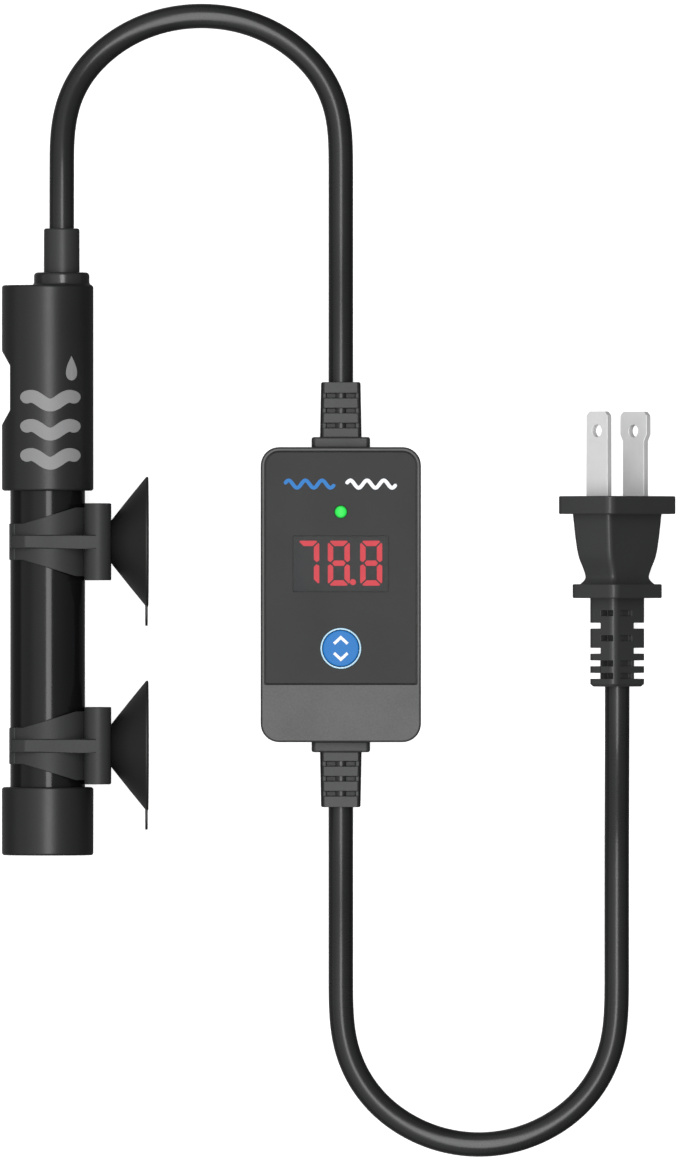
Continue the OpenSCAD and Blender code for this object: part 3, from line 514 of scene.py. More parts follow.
def block(x, y, z):
    """A box from its low and high values along each axis."""
    outline = [(x[0], y[0]), (x[1], y[0]), (x[1], y[1]), (x[0], y[1])]
    return prism(outline, z[0], z[1])


def rod(radius, low, high, steps=48):
    angles = [2 * pi * k / steps for k in range(steps)]
    return prism([(radius * cos(a), radius * sin(a)) for a in angles], low, high)


def moved(mesh, *turns):
    """The mesh after each matrix in turn."""
    for turn in turns:
        mesh.transform(turn)
    return mesh


def shift(x=0, y=0, z=0):
    return Matrix.Translation((x, y, z))


def plain(thing):
    """What a thing's modifiers make of it, as a plain mesh; the thing itself goes."""
    mesh = bpy.data.meshes.new_from_object(thing.evaluated_get(bpy.context.evaluated_depsgraph_get()))
    bpy.data.objects.remove(thing)
    return mesh


def worked(mesh, others, operation):
    """Cuts a mesh with others or joins it to them, by Boolean modifiers that are then applied."""
    base = placed("work", mesh)
    tools = [placed("tool", other) for other in others]
    for tool in tools:
        step = base.modifiers.new("step", "BOOLEAN")
        step.operation, step.object, step.solver = operation, tool, "EXACT"
    result = plain(base)
    for tool in tools:
        bpy.data.objects.remove(tool)
    return tidied(result, dissolve=True)


def cut(mesh, *others):
    return worked(mesh, others, "DIFFERENCE")


def joined(mesh, *others):
    return worked(mesh, others, "UNION")


def piece(name, mesh, slot, body=SET, node=None, edge=0.0, sharp=38, finish=None, clamp=False):
    """A finished piece in metres, smoothly shaded, riding on its body in place of its CAD node.

    Its edges are softened by `edge` millimetres where they turn by more than `sharp` degrees.
    """
    mesh.transform(Matrix.Scale(MM, 4))
    mesh.name = name
    mesh.materials.clear()
    mesh.materials.append(FINISHES[finish or slot])
    mesh.shade_smooth()
    thing = placed(name, mesh)
    if edge:
        soften = thing.modifiers.new("soft_edges", "BEVEL")
        soften.width, soften.segments = edge * MM, 3
        soften.limit_method, soften.angle_limit = "ANGLE", radians(sharp)
        soften.use_clamp_overlap = clamp
        soften.miter_outer = "MITER_ARC"
        thing.modifiers.new("even_shading", "WEIGHTED_NORMAL")
    else:
        mesh.set_sharp_from_angle(angle=radians(sharp))
    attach(thing, body)
    if node:
        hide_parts(node)
    return thing


def cad_copy(node):
    """A node's mesh as one merged solid, in millimetres."""
    mesh = frame["nodes"][node].data.copy()
    mesh.transform(Matrix.Scale(1 / MM, 4))
    return tidied(mesh, dissolve=True)


# ---- Cords ----

def run(x, *places):
    """Points of a straight run along Y, from their (y, z)."""
    return [(x, y, z) for y, z in places]


HEATER_ROUTE = [
    *run(-34, (50, 14.8), (58, 14.8), (66, 14.8), (74, 14.8), (80, 14.3), (86, 12.9), (92.5, 10.6)),
    (-32.9, 99.6, 7.7), (-29.8, 106.3, 5), (-24.7, 111.9, 3.3), (-18.2, 116.3, 2.8), (-10.5, 119.1, 2.8),
    (-2.3, 120, 2.8), (5.9, 119.1, 2.8), (13.6, 116.3, 2.8), (20.1, 111.9, 2.8), (25.2, 106.3, 2.8),
    (28.3, 99.6, 2.8),
    *run(29.4, (92.5, 2.8), (84, 2.8), (75, 2.8), (69, 3.3), (63, 4.5), (57, 6.2), (51, 7.8), (45, 9.1),
         (39, 9.5), (31, 9.5), (23, 9.5), (16, 9.5)),
]
MAINS_ROUTE = [
    *run(29.4, (-40, 9.5), (-47, 9.5), (-55, 9.5), (-63, 9.5), (-69, 9.1), (-75, 7.8), (-81, 6.2),
         (-87, 4.5), (-93, 3.3), (-99, 2.8), (-108, 2.8)),
    (30.5, -115.6, 2.8), (33.6, -122.8, 2.8), (38.6, -128.9, 2.8), (45.1, -133.5, 2.8), (52.7, -136.5, 2.8),
    (60.8, -137.5, 2.8), (68.9, -136.5, 2.8), (76.5, -133.5, 2.8), (83, -128.9, 2.8), (88, -122.8, 2.8),
    (91.1, -115.6, 2.8),
    *run(92.2, (-108, 2.8), (-98, 2.8), (-88, 2.8), (-78, 2.8), (-71, 3.5), (-64, 5.5), (-57, 8.1),
         (-50, 10.7), (-43, 12.9), (-36, 13.6), (-28, 13.6), (-18, 13.6), (-8, 13.6)),
]


def cord(name, route, node):
    """A round cord along its route, as one smooth open spline."""
    line = bpy.data.curves.new(name, "CURVE")
    line.dimensions = "3D"
    line.bevel_depth = CORD_D / 2 * MM
    line.bevel_resolution = 9
    line.resolution_u = 8
    line.use_fill_caps = True
    spline = line.splines.new("NURBS")
    spline.points.add(len(route) - 1)
    for point, place in zip(spline.points, route):
        point.co = (*(c * MM for c in place), 1)
    spline.order_u = 4
    spline.use_endpoint_u = True
    line.materials.append(FINISHES["cord_black"])
    thing = placed(name, line)
    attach(thing, SET)
    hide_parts(node)
    return thing


# ---- Repeated shapes ----

class ShapeTree(Nodes):
    """A geometry node tree with named inputs, a material among them, and one geometry output."""

    def __init__(self, name, inputs):
        super().__init__(bpy.data.node_groups.new(name, "GeometryNodeTree"))
        face = self.tree.interface
        face.new_socket("Geometry", in_out="INPUT", socket_type="NodeSocketGeometry")
        for label, kind in {**inputs, "Material": "Material"}.items():
            face.new_socket(label, in_out="INPUT", socket_type="NodeSocket" + kind)
        face.new_socket("Geometry", in_out="OUTPUT", socket_type="NodeSocketGeometry")
        self.given = self.node("NodeGroupInput").outputs

    def end(self, geometry):
        """Makes the instances real, gives them the material and ends the tree."""
        real = self.node("GeometryNodeRealizeInstances", {}, {"Geometry": geometry}).outputs[0]
        values = {"Geometry": real, "Material": self.given["Material"]}
        dressed = self.node("GeometryNodeSetMaterial", {}, values).outputs[0]
        self.node("NodeGroupOutput", {}, {"Geometry": dressed})

    def grow(self, mesh, **values):
        """Runs the tree on a mesh and returns the plain mesh that it makes."""
        thing = placed("seed", mesh)
        step = thing.modifiers.new("grow", "NODES")
        step.node_group = self.tree
        for item in self.tree.interface.items_tree:
            if item.in_out == "INPUT" and item.name.replace(" ", "_") in values:
                step[item.identifier] = values[item.name.replace(" ", "_")]
        bpy.context.view_layer.update()
        return plain(thing)


def row_tree():
    """Copies of a shape in rows: a number of them along one step, and of rows along another."""
    tree = ShapeTree("rows_of_copies", {
        "Count": "Int", "Step": "Vector", "Rows": "Int", "Row Step": "Vector"})
    shape = tree.given["Geometry"]
    for count, step in (("Count", "Step"), ("Rows", "Row Step")):
        values = {"Count": tree.given[count], "Offset": tree.given[step]}
        line = tree.node("GeometryNodeMeshLine", {}, values)
        values = {"Points": line.outputs[0], "Instance": shape}
        shape = tree.node("GeometryNodeInstanceOnPoints", {}, values).outputs[0]
    tree.end(shape)
    return tree


def coil_tree():
    """A round wire wound into a close helix up Z."""
    tree = ShapeTree("wound_wire", dict.fromkeys(("Turns", "Radius", "Length", "Wire Radius"), "Float"))
    given = tree.given
    values = {"Resolution": 40, "Rotations": given["Turns"], "Start Radius": given["Radius"],
              "End Radius": given["Radius"], "Height": given["Length"]}
    line = tree.node("GeometryNodeCurveSpiral", {}, values)
    values = {"Resolution": 8, "Radius": given["Wire Radius"]}
    wire = tree.node("GeometryNodeCurvePrimitiveCircle", {}, values)
    values = {"Curve": line.outputs[0], "Profile Curve": wire.outputs[0], "Fill Caps": True}
    tree.end(tree.node("GeometryNodeCurveToMesh", {}, values).outputs[0])
    return tree


ROWS, COIL = row_tree(), coil_tree()


def in_rows(mesh, slot, count, step, rows=1, row_step=(0, 0, 0)):
    return ROWS.grow(mesh, Count=count, Step=step, Rows=rows, Row_Step=row_step, Material=FINISHES[slot])


# ---- Heater ----

def heater_tube():
    """Glossy black glass tube, closed and rounded at its lower end."""
    wall, floor = 1.2, 2
    low, high = tube.low.y, tube.high.y
    profile = rounded([
        (0, low, 0), (TUBE_R, low, 3), (TUBE_R, high, 0.3), (TUBE_R - wall, high, 0.3),
        (TUBE_R - wall, low + floor, 0.8), (0, low + floor, 0)], closed=False, steps=10)
    piece("glass_tube", moved(lathe(profile, 128), on_heater), "tube_black", node="heater_tube")


def top_cap_body():
    """Cap over the cord end, with the flat beside the probe and the gland's hole."""
    low, high = top_cap.low.y, top_cap.high.y
    socket_r, socket_end = TUBE_R + FIT, tube.high.y + 3
    cavity_r, cavity_end = CAP_R - 3.6, high - 8
    gland_x, gland_r, gland_start = grommet.mid.x - AXIS_X, 5.45, high - 10
    profile = rounded([
        (socket_r, low, 0.25), (CAP_R, low, 0.6), (CAP_R, high, 0.6), (0, high, 0), (0, cavity_end, 0),
        (cavity_r, cavity_end, 0), (cavity_r, socket_end, 0), (socket_r, socket_end, 0)], steps=8)
    start = profile.index((0, high))
    profile = profile[start + 1:] + profile[:start + 1]
    deep, half, ramp, far = 1.9, 5.1, 3.3, 3
    middle = (low + high) / 2
    slope = ramp / deep
    start_y = half + ramp + slope * far
    flat = [(-far, -start_y), (deep, -half), (deep, half), (-far, start_y)]
    notch = moved(prism(flat, -20, 20), down_y, shift(-CAP_R, 0, middle))
    gland = moved(rod(gland_r, gland_start, high + 1), shift(gland_x))
    mesh = cut(lathe(profile, 128), notch, gland)
    piece("cord_end_cap", moved(mesh, on_heater), "cap_black", node="top_cap", edge=0.18, sharp=22)


def bottom_cap_body():
    """Cap over the closed end, its mouth's edge softened."""
    low, high = bottom_cap.low.y, bottom_cap.high.y
    bore, floor = TUBE_R + FIT, low + 2.5
    profile = rounded([(0, low, 0), (CAP_R, low, 0.6), (CAP_R, high, 0.6), (bore, high, 0.25),
                       (bore, floor, 0.4), (0, floor, 0)], closed=False, steps=8)
    piece("closed_end_cap", moved(lathe(profile, 128), on_heater), "cap_black", node="bottom_cap")


def gland():
    """Rubber collar with a small fillet at its foot, and the boot that grips the cord."""
    offset = shift(grommet.mid.x - AXIS_X)
    foot_y, low, high = top_cap.high.y, grommet.low.y, grommet.high.y
    collar_r, fillet, spigot_r, bore = grommet.size.x / 2 - 0.7, 0.7, 5.4, 4.1
    curve = [(collar_r + inset, foot_y + drop) for inset, drop in edge_rounding(fillet, 6)]
    profile = [(spigot_r, low), (spigot_r, foot_y - 0.02)] + curve
    profile += rounded([curve[-1] + (0,), (collar_r, high, 0.8), (bore, high, 0.3), (bore, low, 0)],
                       closed=False)[1:]
    mesh = lathe(profile, ring=True)
    piece("gland_collar", moved(mesh, offset, on_heater), "gland_rubber", node="gland_grommet",
          finish="collar_gloss")
    low, high, boot_r, skirt_r, skirt = boot.low.y, boot.high.y, 4.05, 5.35, 1.5
    profile = rounded([
        (skirt_r, low, 0), (skirt_r, low + skirt, 0), (boot_r, low + skirt, 0), (boot_r, high, 0.5),
        (CORD_BORE, high, 0.35), (CORD_BORE, low, 0)])
    mesh = lathe(profile, ring=True)
    piece("cord_boot_sleeve", moved(mesh, offset, on_heater), "gland_rubber", node="cord_boot")


def stroke(path, width, low, high):
    """A flat printed stroke with round ends along a path on X and Y."""
    path = [Vector(p) for p in path]
    half = width / 2
    marks = [0]
    for a, b in zip(path, path[1:]):
        marks.append(marks[-1] + (b - a).length)
    total = marks[-1]

    def point(at):
        k = min(bisect_right(marks, at), len(path) - 1)
        return path[k - 1].lerp(path[k], (at - marks[k - 1]) / (marks[k] - marks[k - 1]))

    tip = [(half * (1 - cos(a)), half * sin(a)) for a in (pi / 2 * k / 6 for k in range(1, 7))]
    stations = tip + [(at, half) for at in marks if half < at < total - half]
    stations += [(total - at, reach) for at, reach in reversed(tip)]
    rings = []
    for at, reach in stations:
        way = (point(min(at + 0.1, total)) - point(max(at - 0.1, 0))).normalized()
        side = Vector((-way.y, way.x)) * reach
        a, b = point(at) + side, point(at) - side
        rings.append([(a.x, a.y, low), (b.x, b.y, low), (b.x, b.y, high), (a.x, a.y, high)])
    return loft(rings)


def wave(x0, x1, rise, pitch, steps=40):
    """Points of a wavy line from x0 to x1."""
    xs = [x0 + (x1 - x0) * k / steps for k in range(steps + 1)]
    return [(x, rise * sin(2 * pi * (x - x0) / pitch)) for x in xs]


def droplet(w, h, low, high):
    """A water drop with its tip up +Y."""
    angles = [2 * pi * k / 36 for k in range(36)]
    return prism([(w / 2 * sin(a) * sin(a / 2) ** 1.2, h / 2 * cos(a)) for a in angles], low, high)


def wrapped(mesh):
    """Lays a flat mesh, drawn on X and along the heater, onto the top of the cap."""
    work = bmesh.new()
    work.from_mesh(mesh)
    for k in range(-15, 16):
        everything = work.verts[:] + work.edges[:] + work.faces[:]
        bmesh.ops.bisect_plane(work, geom=everything, plane_co=(0.5 * k, 0, 0), plane_no=(1, 0, 0))
    work.to_mesh(mesh)
    work.free()
    for vertex in mesh.vertices:
        x, y, h = vertex.co
        vertex.co = (AXIS_X + x, y, AXIS_Z + sqrt((CAP_R + h) ** 2 - x * x))
    return mesh


def cap_print():
    """Printed sign on the cap: three heat waves and a drop."""
    one = moved(stroke(wave(-6.6, 6.6, 1.0, 8.8), 2.9, -0.08, 0.04), shift(0.7, 18.8))
    mesh = in_rows(one, "print_grey", 3, (0, 6.6, 0))
    piece("heat_wave_print", wrapped(mesh), "mark_white", finish="print_grey")
    drop = moved(droplet(3.4, 5.6, -0.08, 0.04), shift(5.5, 39.4))
    piece("water_drop_print", wrapped(drop), "mark_white", finish="print_grey")


def clips():
    """Spring clips of matte grey plastic with softened edges."""
    for node in ("upper_clip", "lower_clip"):
        piece(node + "_body", cad_copy(node), "clip_grey", body=node, node=node, edge=0.22, sharp=35)


def suction_cups():
    """Soft cups with a thin rim and a pull tab, held by their heads in the clips' feet."""
    for node, body in (("upper_suction_cup", "upper_cup"), ("lower_suction_cup", "lower_cup")):
        place = Place(node)
        start, rim = place.low.x - AXIS_X, place.high.x - AXIS_X
        cup_r = place.size.z / 2
        middle = place.high.y - cup_r
        head_r, head, neck_r, base = 4.1, 2.8, 2.7, start + 5.0
        tab_r, tab_end = 3, cup_r + 4.3
        profile = rounded([
            (0, start, 0), (head_r, start, 0.6), (head_r, start + head, 0.4), (neck_r, start + head, 0),
            (neck_r, base, 0.4), (4.9, base, 0.2), (10, rim - 4.4, 6), (cup_r, rim - 0.5, 0.2),
            (cup_r, rim, 0.25), (cup_r - 0.7, rim, 0.25), (cup_r - 1.2, rim - 0.55, 0.3),
            (9.6, rim - 3.4, 6), (4, base + 2.6, 2), (0, base + 2.4, 0)], closed=False, steps=8)
        turns = [pi + pi * k / 12 for k in range(13)]
        tab = [(tab_r * cos(a), tab_r * sin(a) - (tab_end - tab_r)) for a in turns]
        tab += [(tab_r, 1.5 - cup_r), (-tab_r, 1.5 - cup_r)]
        tongue = prism(tab, rim - 0.75, rim - 0.15)
        cup = moved(joined(lathe(profile, 112), tongue), along_x, shift(AXIS_X, middle, AXIS_Z))
        piece(node + "_rubber", cup, "cup_rubber", body=body, node=node, sharp=50)


def heating_wire():
    """Resistance wire wound round the ceramic core."""
    place = Place("heating_coil")
    turns, wire = 14.0, 0.35
    mesh = COIL.grow(bpy.data.meshes.new("none"), Turns=turns, Radius=place.size.x / 2 - wire,
                     Length=place.size.y - 2 * wire, Wire_Radius=wire, Material=FINISHES["wire_metal"])
    mesh = moved(tidied(mesh), shift(0, 0, place.low.y + wire), on_heater)
    piece("resistance_wire", mesh, "wire_metal", node="heating_coil")


# ---- Controller ----

def shell_rings(z_open, z_far, edge, joint, wall=1.8, plate=1.8):
    """A tray from its open end to its closed one, with a rounded far edge and a chamfered joint."""
    up = 1 if z_far > z_open else -1
    rings = []

    def add(inset, z):
        outline = rectangle(BOX_W - 2 * inset, BOX_H - 2 * inset, BOX_CORNER - inset, steps=10)
        rings.append([(x, y, z) for x, y in outline])

    for inset, drop in edge_rounding(edge, 6):
        add(inset, z_far - up * drop)
    add(0, z_open + up * joint)
    add(joint, z_open)
    add(wall, z_open)
    add(wall, z_far - up * plate)
    return loft(rings)


def relief_bore():
    """The tool for the holes of both strain reliefs."""
    return moved(rod(4.25, -60, 60, 64), along_y, shift(0, 0, SPLIT_Z))


def back_case():
    """Rear half of the housing with its four screw holes."""
    x, y, hole_r, deep = BOX_W / 2 - 5.0, BOX_H / 2 - 5.4, 2.2, 1.9
    holes = [moved(rod(hole_r, -1, deep), shift(i * x, j * y)) for i in (-1, 1) for j in (-1, 1)]
    mesh = cut(shell_rings(SPLIT_Z, 0, 0.9, 0.25), relief_bore(), *holes)
    piece("rear_housing", moved(mesh, on_box), "back_black", node="back_shell", edge=0.1, sharp=35)


def panel_edge(inset):
    """Outline of the face panel's seat: round corners at its top, square ones at its band."""
    x = panel.size.x / 2 + FIT - inset
    top, bottom = panel.high.y - BOX_Y + FIT - inset, panel.low.y - BOX_Y - FIT + inset
    corner = BOX_CORNER - (BOX_W / 2 - x)
    return rounded([(x, top, corner), (-x, top, corner), (-x, bottom, 0.4), (x, bottom, 0.4)], steps=8)


def spots(lamp_r, knob_r, steps=48):
    """Round tools for the holes of the light and the button."""
    return [moved(rod(r, 10, 25, steps), shift(0, place.mid.y - BOX_Y))
            for r, place in ((lamp_r, lamp), (knob_r, knob))]


def front_case():
    """Front half of the housing: a rim round the face panel and a plain band below it."""
    seat = prism(panel_edge(0), panel.low.z, 25)
    x, y, middle = 11.4, 7.2, lens.mid.y - BOX_Y
    window = block((-x, x), (middle - y, middle + y), (15, 25))
    mesh = cut(shell_rings(SPLIT_Z, BOX_T, 0.6, 0.25, plate=2.2), relief_bore(), seat, window,
               *spots(1.45, 4.15))
    piece("front_housing", moved(mesh, on_box), "housing_grey", node="front_shell", edge=0.06, sharp=35)


def face():
    """Thin panel set in the rim with a narrow groove round it, open for window, light and button."""
    plate = prism(panel_edge(0.38), panel.low.z, panel.high.z)
    x, y, groove = lens.size.x + 2 * FIT, lens.size.y + 2 * FIT, 0.08
    middle = lens.mid.y - BOX_Y
    window = moved(prism(rectangle(x, y, 0.25), 10, 25), shift(0, middle))
    mesh = cut(cut(plate, window), *spots(1.5, knob_ring.size.x / 2 + FIT, 72))
    piece("control_panel", moved(mesh, on_box), "face_black", node="face_panel", edge=0.05, sharp=35)
    pane = slab(x - groove, y - groove, 0.22, lens.low.z, lens.high.z, top_edge=0.02)
    piece("display_pane", moved(pane, shift(0, middle), on_box), "lens_smoke", node="display_lens")


def digit_bars(lit):
    """Outlines of the lit bars of a digit: A at the top, then clockwise, G across the middle."""
    x, y, thick, gap, nick = 2.5, 5.1, 1.22, 0.24, 0.24
    inner, tip = x - thick - gap, x - thick / 2 - 1.5 * gap

    def flipped(outline, i, j):
        return [(i * a, j * b) for a, b in outline]

    top = [(x - gap - 2 * nick, y), (x - gap - nick, y - nick), (inner, y - thick)]
    top += flipped(top[::-1], -1, 1)
    right = [(x, y - gap - 2 * nick), (x, thick * 0.3 + gap), (x - thick / 2, gap),
             (x - thick, thick / 2 + gap), (x - thick, y - thick - gap), (x - nick, y - gap - nick)]
    across = [(tip, 0), (inner, -thick / 2), (-inner, -thick / 2), (-tip, 0), (-inner, thick / 2),
              (inner, thick / 2)]
    bars = {"A": top, "B": right, "C": flipped(right, 1, -1), "D": flipped(top, 1, -1),
            "E": flipped(right, -1, -1), "F": flipped(right, -1, 1), "G": across}
    return [bars[letter] for letter in lit]


def digits():
    """The display's lit bars and its decimal point."""
    place = Place("display_segments")
    low, high, point_r = place.low.z, place.high.z, 0.68
    bars = [moved(prism(outline, low, high), shift(middle))
            for middle, lit_bars in ((-7.4, "ABC"), (-0.45, "ABCDEFG"), (6.9, "ABCDEFG"))
            for outline in digit_bars(lit_bars)]
    point = moved(rod(point_r, low, high, 32), shift(2.75, -4.3))
    mesh = moved(together(bars + [point]), shift(0, lens.mid.y + 0.15 - BOX_Y), on_box)
    piece("lit_digits", mesh, "digit_red",
          node="display_segments")


def together(meshes):
    """Separate closed shapes as one mesh."""
    work = bmesh.new()
    for mesh in meshes:
        work.from_mesh(mesh)
    mesh = bpy.data.meshes.new("shapes")
    work.to_mesh(mesh)
    work.free()
    return mesh


def power_lamp():
    """Round light pipe with a low dome."""
    r, low, high, dome = lamp.size.x / 2, lamp.low.z, lamp.high.z, 0.35
    profile = [(0, low), (r, low), (r, high - dome)]
    profile += [(r * cos(a), high - dome + dome * sin(a)) for a in [pi / 2 * k / 8 for k in range(1, 8)]]
    profile.append((0, high))
    mesh = moved(lathe(profile, 64), shift(lamp.mid.x, lamp.mid.y))
    piece("power_lamp", mesh, "light_green", node="power_light")


def push_button():
    """Blue button with a slightly crowned top, a pale ring round it and two raised arrows."""
    at = shift(knob.mid.x, knob.mid.y)
    r, stem_r, top, low = 4.1, 1.5, knob.high.z, knob.low.z
    flange_r, flange_top, flange_t = knob.size.x / 2, low + 2.6, 1
    crown = [(r * 0.86 * (1 - k / 6), top - 0.1 * (1 - k / 6) ** 2) for k in range(7)]
    profile = [(0, low), (stem_r, low), (stem_r, flange_top - flange_t), (flange_r, flange_top - flange_t),
               (flange_r, flange_top)]
    profile += rounded([(r, flange_top, 0), (r, top - 0.12, 0.45), crown[0] + (0,)], closed=False, steps=8)
    profile += crown[1:]
    mesh = moved(lathe(profile, 112), at)
    piece("button_body", mesh, "button_blue", body="button", node="button_cap")
    low, high, outer, bore = knob_ring.low.z, knob_ring.high.z, knob_ring.size.x / 2, r + 0.14
    profile = rounded([(outer, low, 0), (outer, high, 0.2), (bore, high, 0.12), (bore, low, 0)])
    piece("button_bezel", moved(lathe(profile, 112, ring=True), at), "mark_white", node="button_ring",
          finish="bezel_blue")
    heads = [moved(chevron(1.55, 1.05, 2.5, 0.68, top - 0.15, knob_arrows.high.z - 0.02), turn)
             for turn in (shift(), Matrix.Rotation(pi, 4, "Z"))]
    piece("button_marks", moved(together(heads), at), "mark_white", body="button", node="button_arrows",
          edge=0.04, clamp=True)


def chevron(reach, foot, tip, width, low, high):
    """An arrow head up +Y, of one bent stroke with square ends."""
    end, middle = Vector((-reach, foot)), Vector((0, tip))
    way = (middle - end).normalized()
    side = Vector((-way.y, way.x)) * width / 2
    up = Vector((0, side.length / way.x))
    (x0, y0), (x1, y1) = end + side, end - side
    return prism([(x0, y0), middle + up, (-x0, y0), (-x1, y1), middle - up, (x1, y1)], low, high)


def face_mark():
    """A plain wavy line on the panel, blue on its left half and white on its right."""
    top, width, rise, pitch = panel.high.z, 0.85, 0.85, 3.8
    place = shift(BOX_X - 0.2, BOX_Y + 25.1)
    for name, x0, x1, slot in (("blue_wave_print", -12.6, -1.2, "button_blue"),
                               ("white_wave_print", 1.4, 12.8, "mark_white")):
        mesh = stroke(wave(x0, x1, rise, pitch, 48), width, top - 0.1, top + 0.04)
        piece(name, moved(mesh, place), slot)


def case_screws():
    """Pan-head screws with a cross recess, one in each corner of the back."""
    place = Place("shell_screws")
    low, end, head_r, stem_r = place.low.z, place.high.z, 2.0, 1
    under = low + 1.5
    profile = rounded([(0, low, 0), (head_r, low, 0.5), (head_r, under, 0), (stem_r, under, 0),
                       (stem_r, end, 0.3), (0, end, 0)], closed=False)
    wide, narrow, deep = (-1.15, 1.15), (-0.28, 0.28), (low - 1, low + 0.9)
    cross = [block(wide, narrow, deep), block(narrow, wide, deep)]
    one = moved(cut(lathe(profile, 40), *cross), shift(place.low.x + head_r, place.low.y + head_r))
    across, down = place.size.x - 2 * head_r, place.size.y - 2 * head_r
    mesh = in_rows(one, "screw_steel", 2, (across, 0, 0), 2, (0, down, 0))
    piece("case_screws", mesh, "screw_steel", node="shell_screws")


def reliefs():
    """Ribbed strain reliefs, one on each end of the housing."""
    half, side, end = 4.3, 0.75, 14.8              # half height, chamfer and length
    slot_half, slot_floor, channel_floor = 3.3, 2.6, 4.1
    first, width, pitch = 4.35, 1.15, 3.4          # of the slots, along the sleeve

    def section(w, y):
        x = w / 2
        outline = [(x, half - side), (x - side, half), (-x + side, half), (-x, half - side),
                   (-x, side - half), (side - x, -half), (x - side, -half), (x, side - half)]
        return [(a, y, b) for a, b in outline]

    for node, turn in (("upper_relief", shift()), ("lower_relief", Matrix.Rotation(pi, 4, "Z"))):
        body = loft([section(9.5, 0.5), section(9.35, 5), section(9.0, end - 0.3), section(8.6, end)])
        collar = moved(slab(13.3, 10.6, 1.0, 0, 2.3, top_edge=0.5), along_y)
        flange = moved(rod(5.3, -3.2, -1.8), along_y)
        neck = moved(rod(4.2, -2.5, 1), along_y)
        mesh = joined(body, collar, flange, neck)
        run = (first, first + width)
        slot = [joined(block((-slot_half, slot_half), run, sorted((slot_floor * s, 9 * s))),
                       block((-6, 6), run, sorted((channel_floor * s, 9.5 * s)))) for s in (-1, 1)]
        slots = in_rows(together(slot), "gland_rubber", 3, (0, pitch, 0))
        bore = moved(rod(CORD_BORE, -10, 30), along_y)
        mesh = cut(mesh, slots, bore)
        place = on_box @ shift(0, 0, SPLIT_Z) @ turn @ shift(0, BOX_H / 2, 0)
        piece(node + "_sleeve", moved(mesh, place), "gland_rubber", node=node, edge=0.14, sharp=32,
              finish="relief_grey")


# ---- Plug ----

def smooth_sizes(sizes, steps=5):
    """More sizes between the given ones, on one smooth curve through them."""
    rows = [sizes[0]] + sizes + [sizes[-1]]
    finer = []
    for a, b, c, d in zip(rows, rows[1:], rows[2:], rows[3:]):
        for k in range(steps):
            t = k / steps
            finer.append([
                0.5 * (2 * q + (r - p) * t + (2 * p - 5 * q + 4 * r - s) * t * t
                       + (3 * q - p - 3 * r + s) * t ** 3)
                for p, q, r, s in zip(a, b, c, d)])
    return finer + [sizes[-1]]


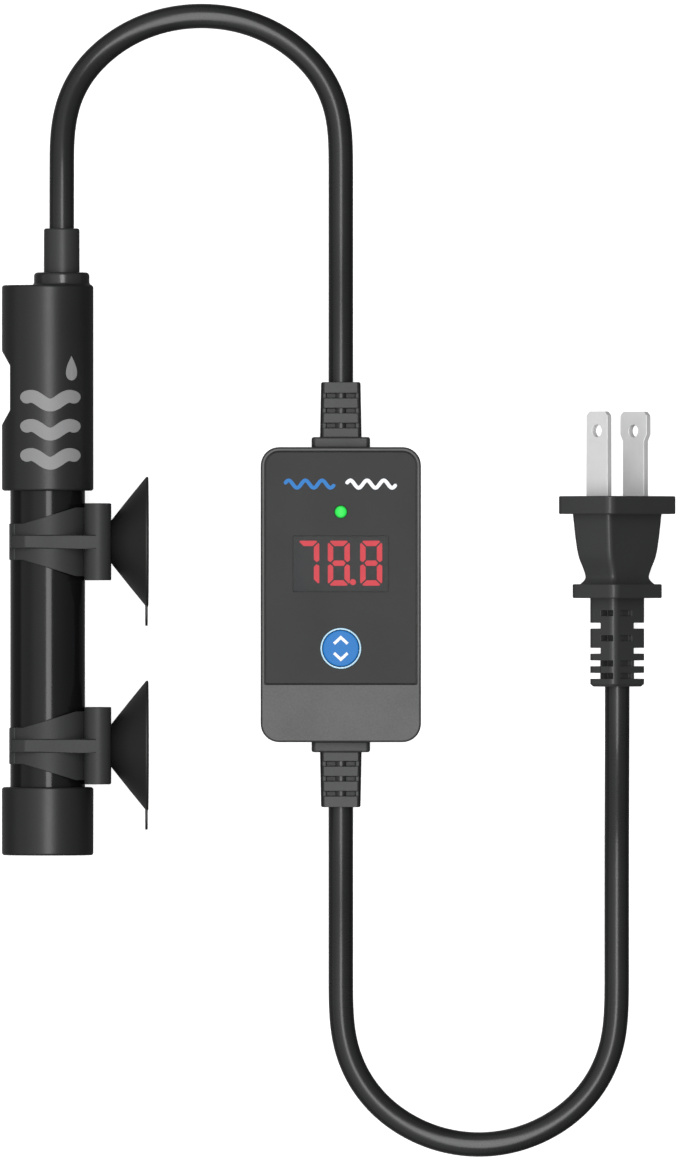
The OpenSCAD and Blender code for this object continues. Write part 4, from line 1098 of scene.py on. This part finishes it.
def plug_shell():
    """Moulded plug: front flange, waisted grip, rear flange and a slotted tail."""
    flange_b, flange_n, flange_t = 16.6, 23.7, 4.1  # across the blades' faces, across their edges, and long
    neck = smooth_sizes([[0, 11.5, 19], [5.4, 10.9, 17.9], [9.5, 10.2, 16.6], [12.4, 9.4, 14.2],
                         [14.2, 9.0, 13.1], [15.1, 9.5, 13.6], [15.9, 10.8, 14.8]])
    rear, rear_b, rear_n, rear_t = flange_t + 15.9, 13.6, 17.7, 3.2
    tail_b, tail_n, tail_len = 8.0, 11.5, 20.1
    rings = []

    def add(back_by, b, n, radius):
        outline = rectangle(b, n, radius, steps=8)
        rings.append([(x, -back_by, y) for x, y in outline])

    def flange(front, back_by, b, n, radius=1.9, edge=0.25):
        for inset, drop in edge_rounding(edge):
            add(front + drop, b - 2 * inset, n - 2 * inset, radius)
        for inset, drop in reversed(edge_rounding(edge)):
            add(back_by - drop, b - 2 * inset, n - 2 * inset, radius)

    flange(0, flange_t, flange_b, flange_n)
    for at, b, n in neck:
        add(flange_t + at, b, n, 1.15)
    flange(rear, rear + rear_t, rear_b, rear_n)
    add(rear + rear_t, tail_b, tail_n, 1.6)
    end = rear + rear_t + tail_len
    add(end - 0.6, tail_b, tail_n, 1.6)
    add(end, tail_b - 1.1, tail_n - 1.1, 1.4)
    mesh = loft(rings)
    tools = []
    first, pitch, half = rear + rear_t + 3.4, 2.85, 0.65  # of the tail's slots
    for i in range(6):
        at = first + i * pitch
        low, high = -at - half, -at + half
        for s in (-1, 1):
            if i % 2 == 0 or i > 3:
                tools.append(block(sorted((0, s * 3.35)), (low, high), sorted((s * 3.4, s * 9))))
                tools.append(block(sorted((s * 2.4, s * 9)), (low, high), sorted((-s * 0.5, s * 3.5))))
            if i % 2 == 1 or i > 3:
                tools.append(block(sorted((s * 0.1, s * 9)), (low, high), sorted((-s * 1.2, -s * 9))))
    core = moved(slab(6, 6, 1.5, rear, end - 0.8), down_y)
    tools = [cut(tool, core) for tool in tools]
    tools.append(moved(rod(CORD_BORE, -60, -18.4, 40), along_y))
    mesh = cut(mesh, *tools)
    return piece("plug_moulding", moved(mesh, on_plug), "plug_black", node="plug_body", edge=0.12)


def blades():
    """Two folded-edge contact blades, each with a hole near its tip; the wider one is neutral."""
    made = []
    long, corner, half, half_t, flare, rise = 19.2, 0.9, 3.175, 0.75, 14.0, 1.5
    hole_r, hole_at, root = 1.42, long - 4.4, -9
    for node, side, tip_w in (("line_blade", 1, 6.35), ("neutral_blade", -1, 7.9)):
        w = tip_w / 2
        side_line = [(half, root), (half, flare - rise), (w, flare), (w, long - corner), (w - corner, long)]
        if tip_w == 2 * half:
            side_line = [p for p in side_line if p[1] not in (flare, flare - rise)]
        outline = side_line + [(-x, y) for x, y in reversed(side_line)]
        plate = cut(prism(outline, -half_t, half_t), moved(rod(hole_r, -2, 2), shift(0, hole_at)))
        place = on_plug @ shift(0, 0, side * BLADE_GAP / 2)
        made.append(piece(node + "_contact", moved(plate, place), "blade_nickel", node=node, edge=0.12))
    return made


# ---- Floor ----

def floor():
    """Plain pale table."""
    finish = Finish("pale_table")
    cloud = finish.noise(60, 2)
    finish.set(Base_Color=finish.mix(cloud, grey(0.8), grey(0.82)), Roughness=cloud * 0.1 + 0.8)
    finish.set(Emission_Color=(1, 1, 1, 1), Emission_Strength=0.75)
    mesh = mesh_of([(-9, -9, 0), (9, -9, 0), (9, 9, 0), (-9, 9, 0)], [(0, 1, 2, 3)])
    mesh.materials.append(finish.material)
    table = placed("table", mesh)
    table.visible_glossy = table.visible_diffuse = False


# ---- The whole set ----

camera()
lights()
floor()
finish_cad_nodes()

heater_tube()
top_cap_body()
bottom_cap_body()
gland()
cap_print()
clips()
suction_cups()
heating_wire()
back_case()
front_case()
face()
digits()
power_lamp()
push_button()
face_mark()
case_screws()
reliefs()
plug = plug_shell()
contacts = blades()

heater_cord = cord("heater_lead", HEATER_ROUTE, "heater_cord")
mains_cord = cord("mains_lead", MAINS_ROUTE, "mains_cord")
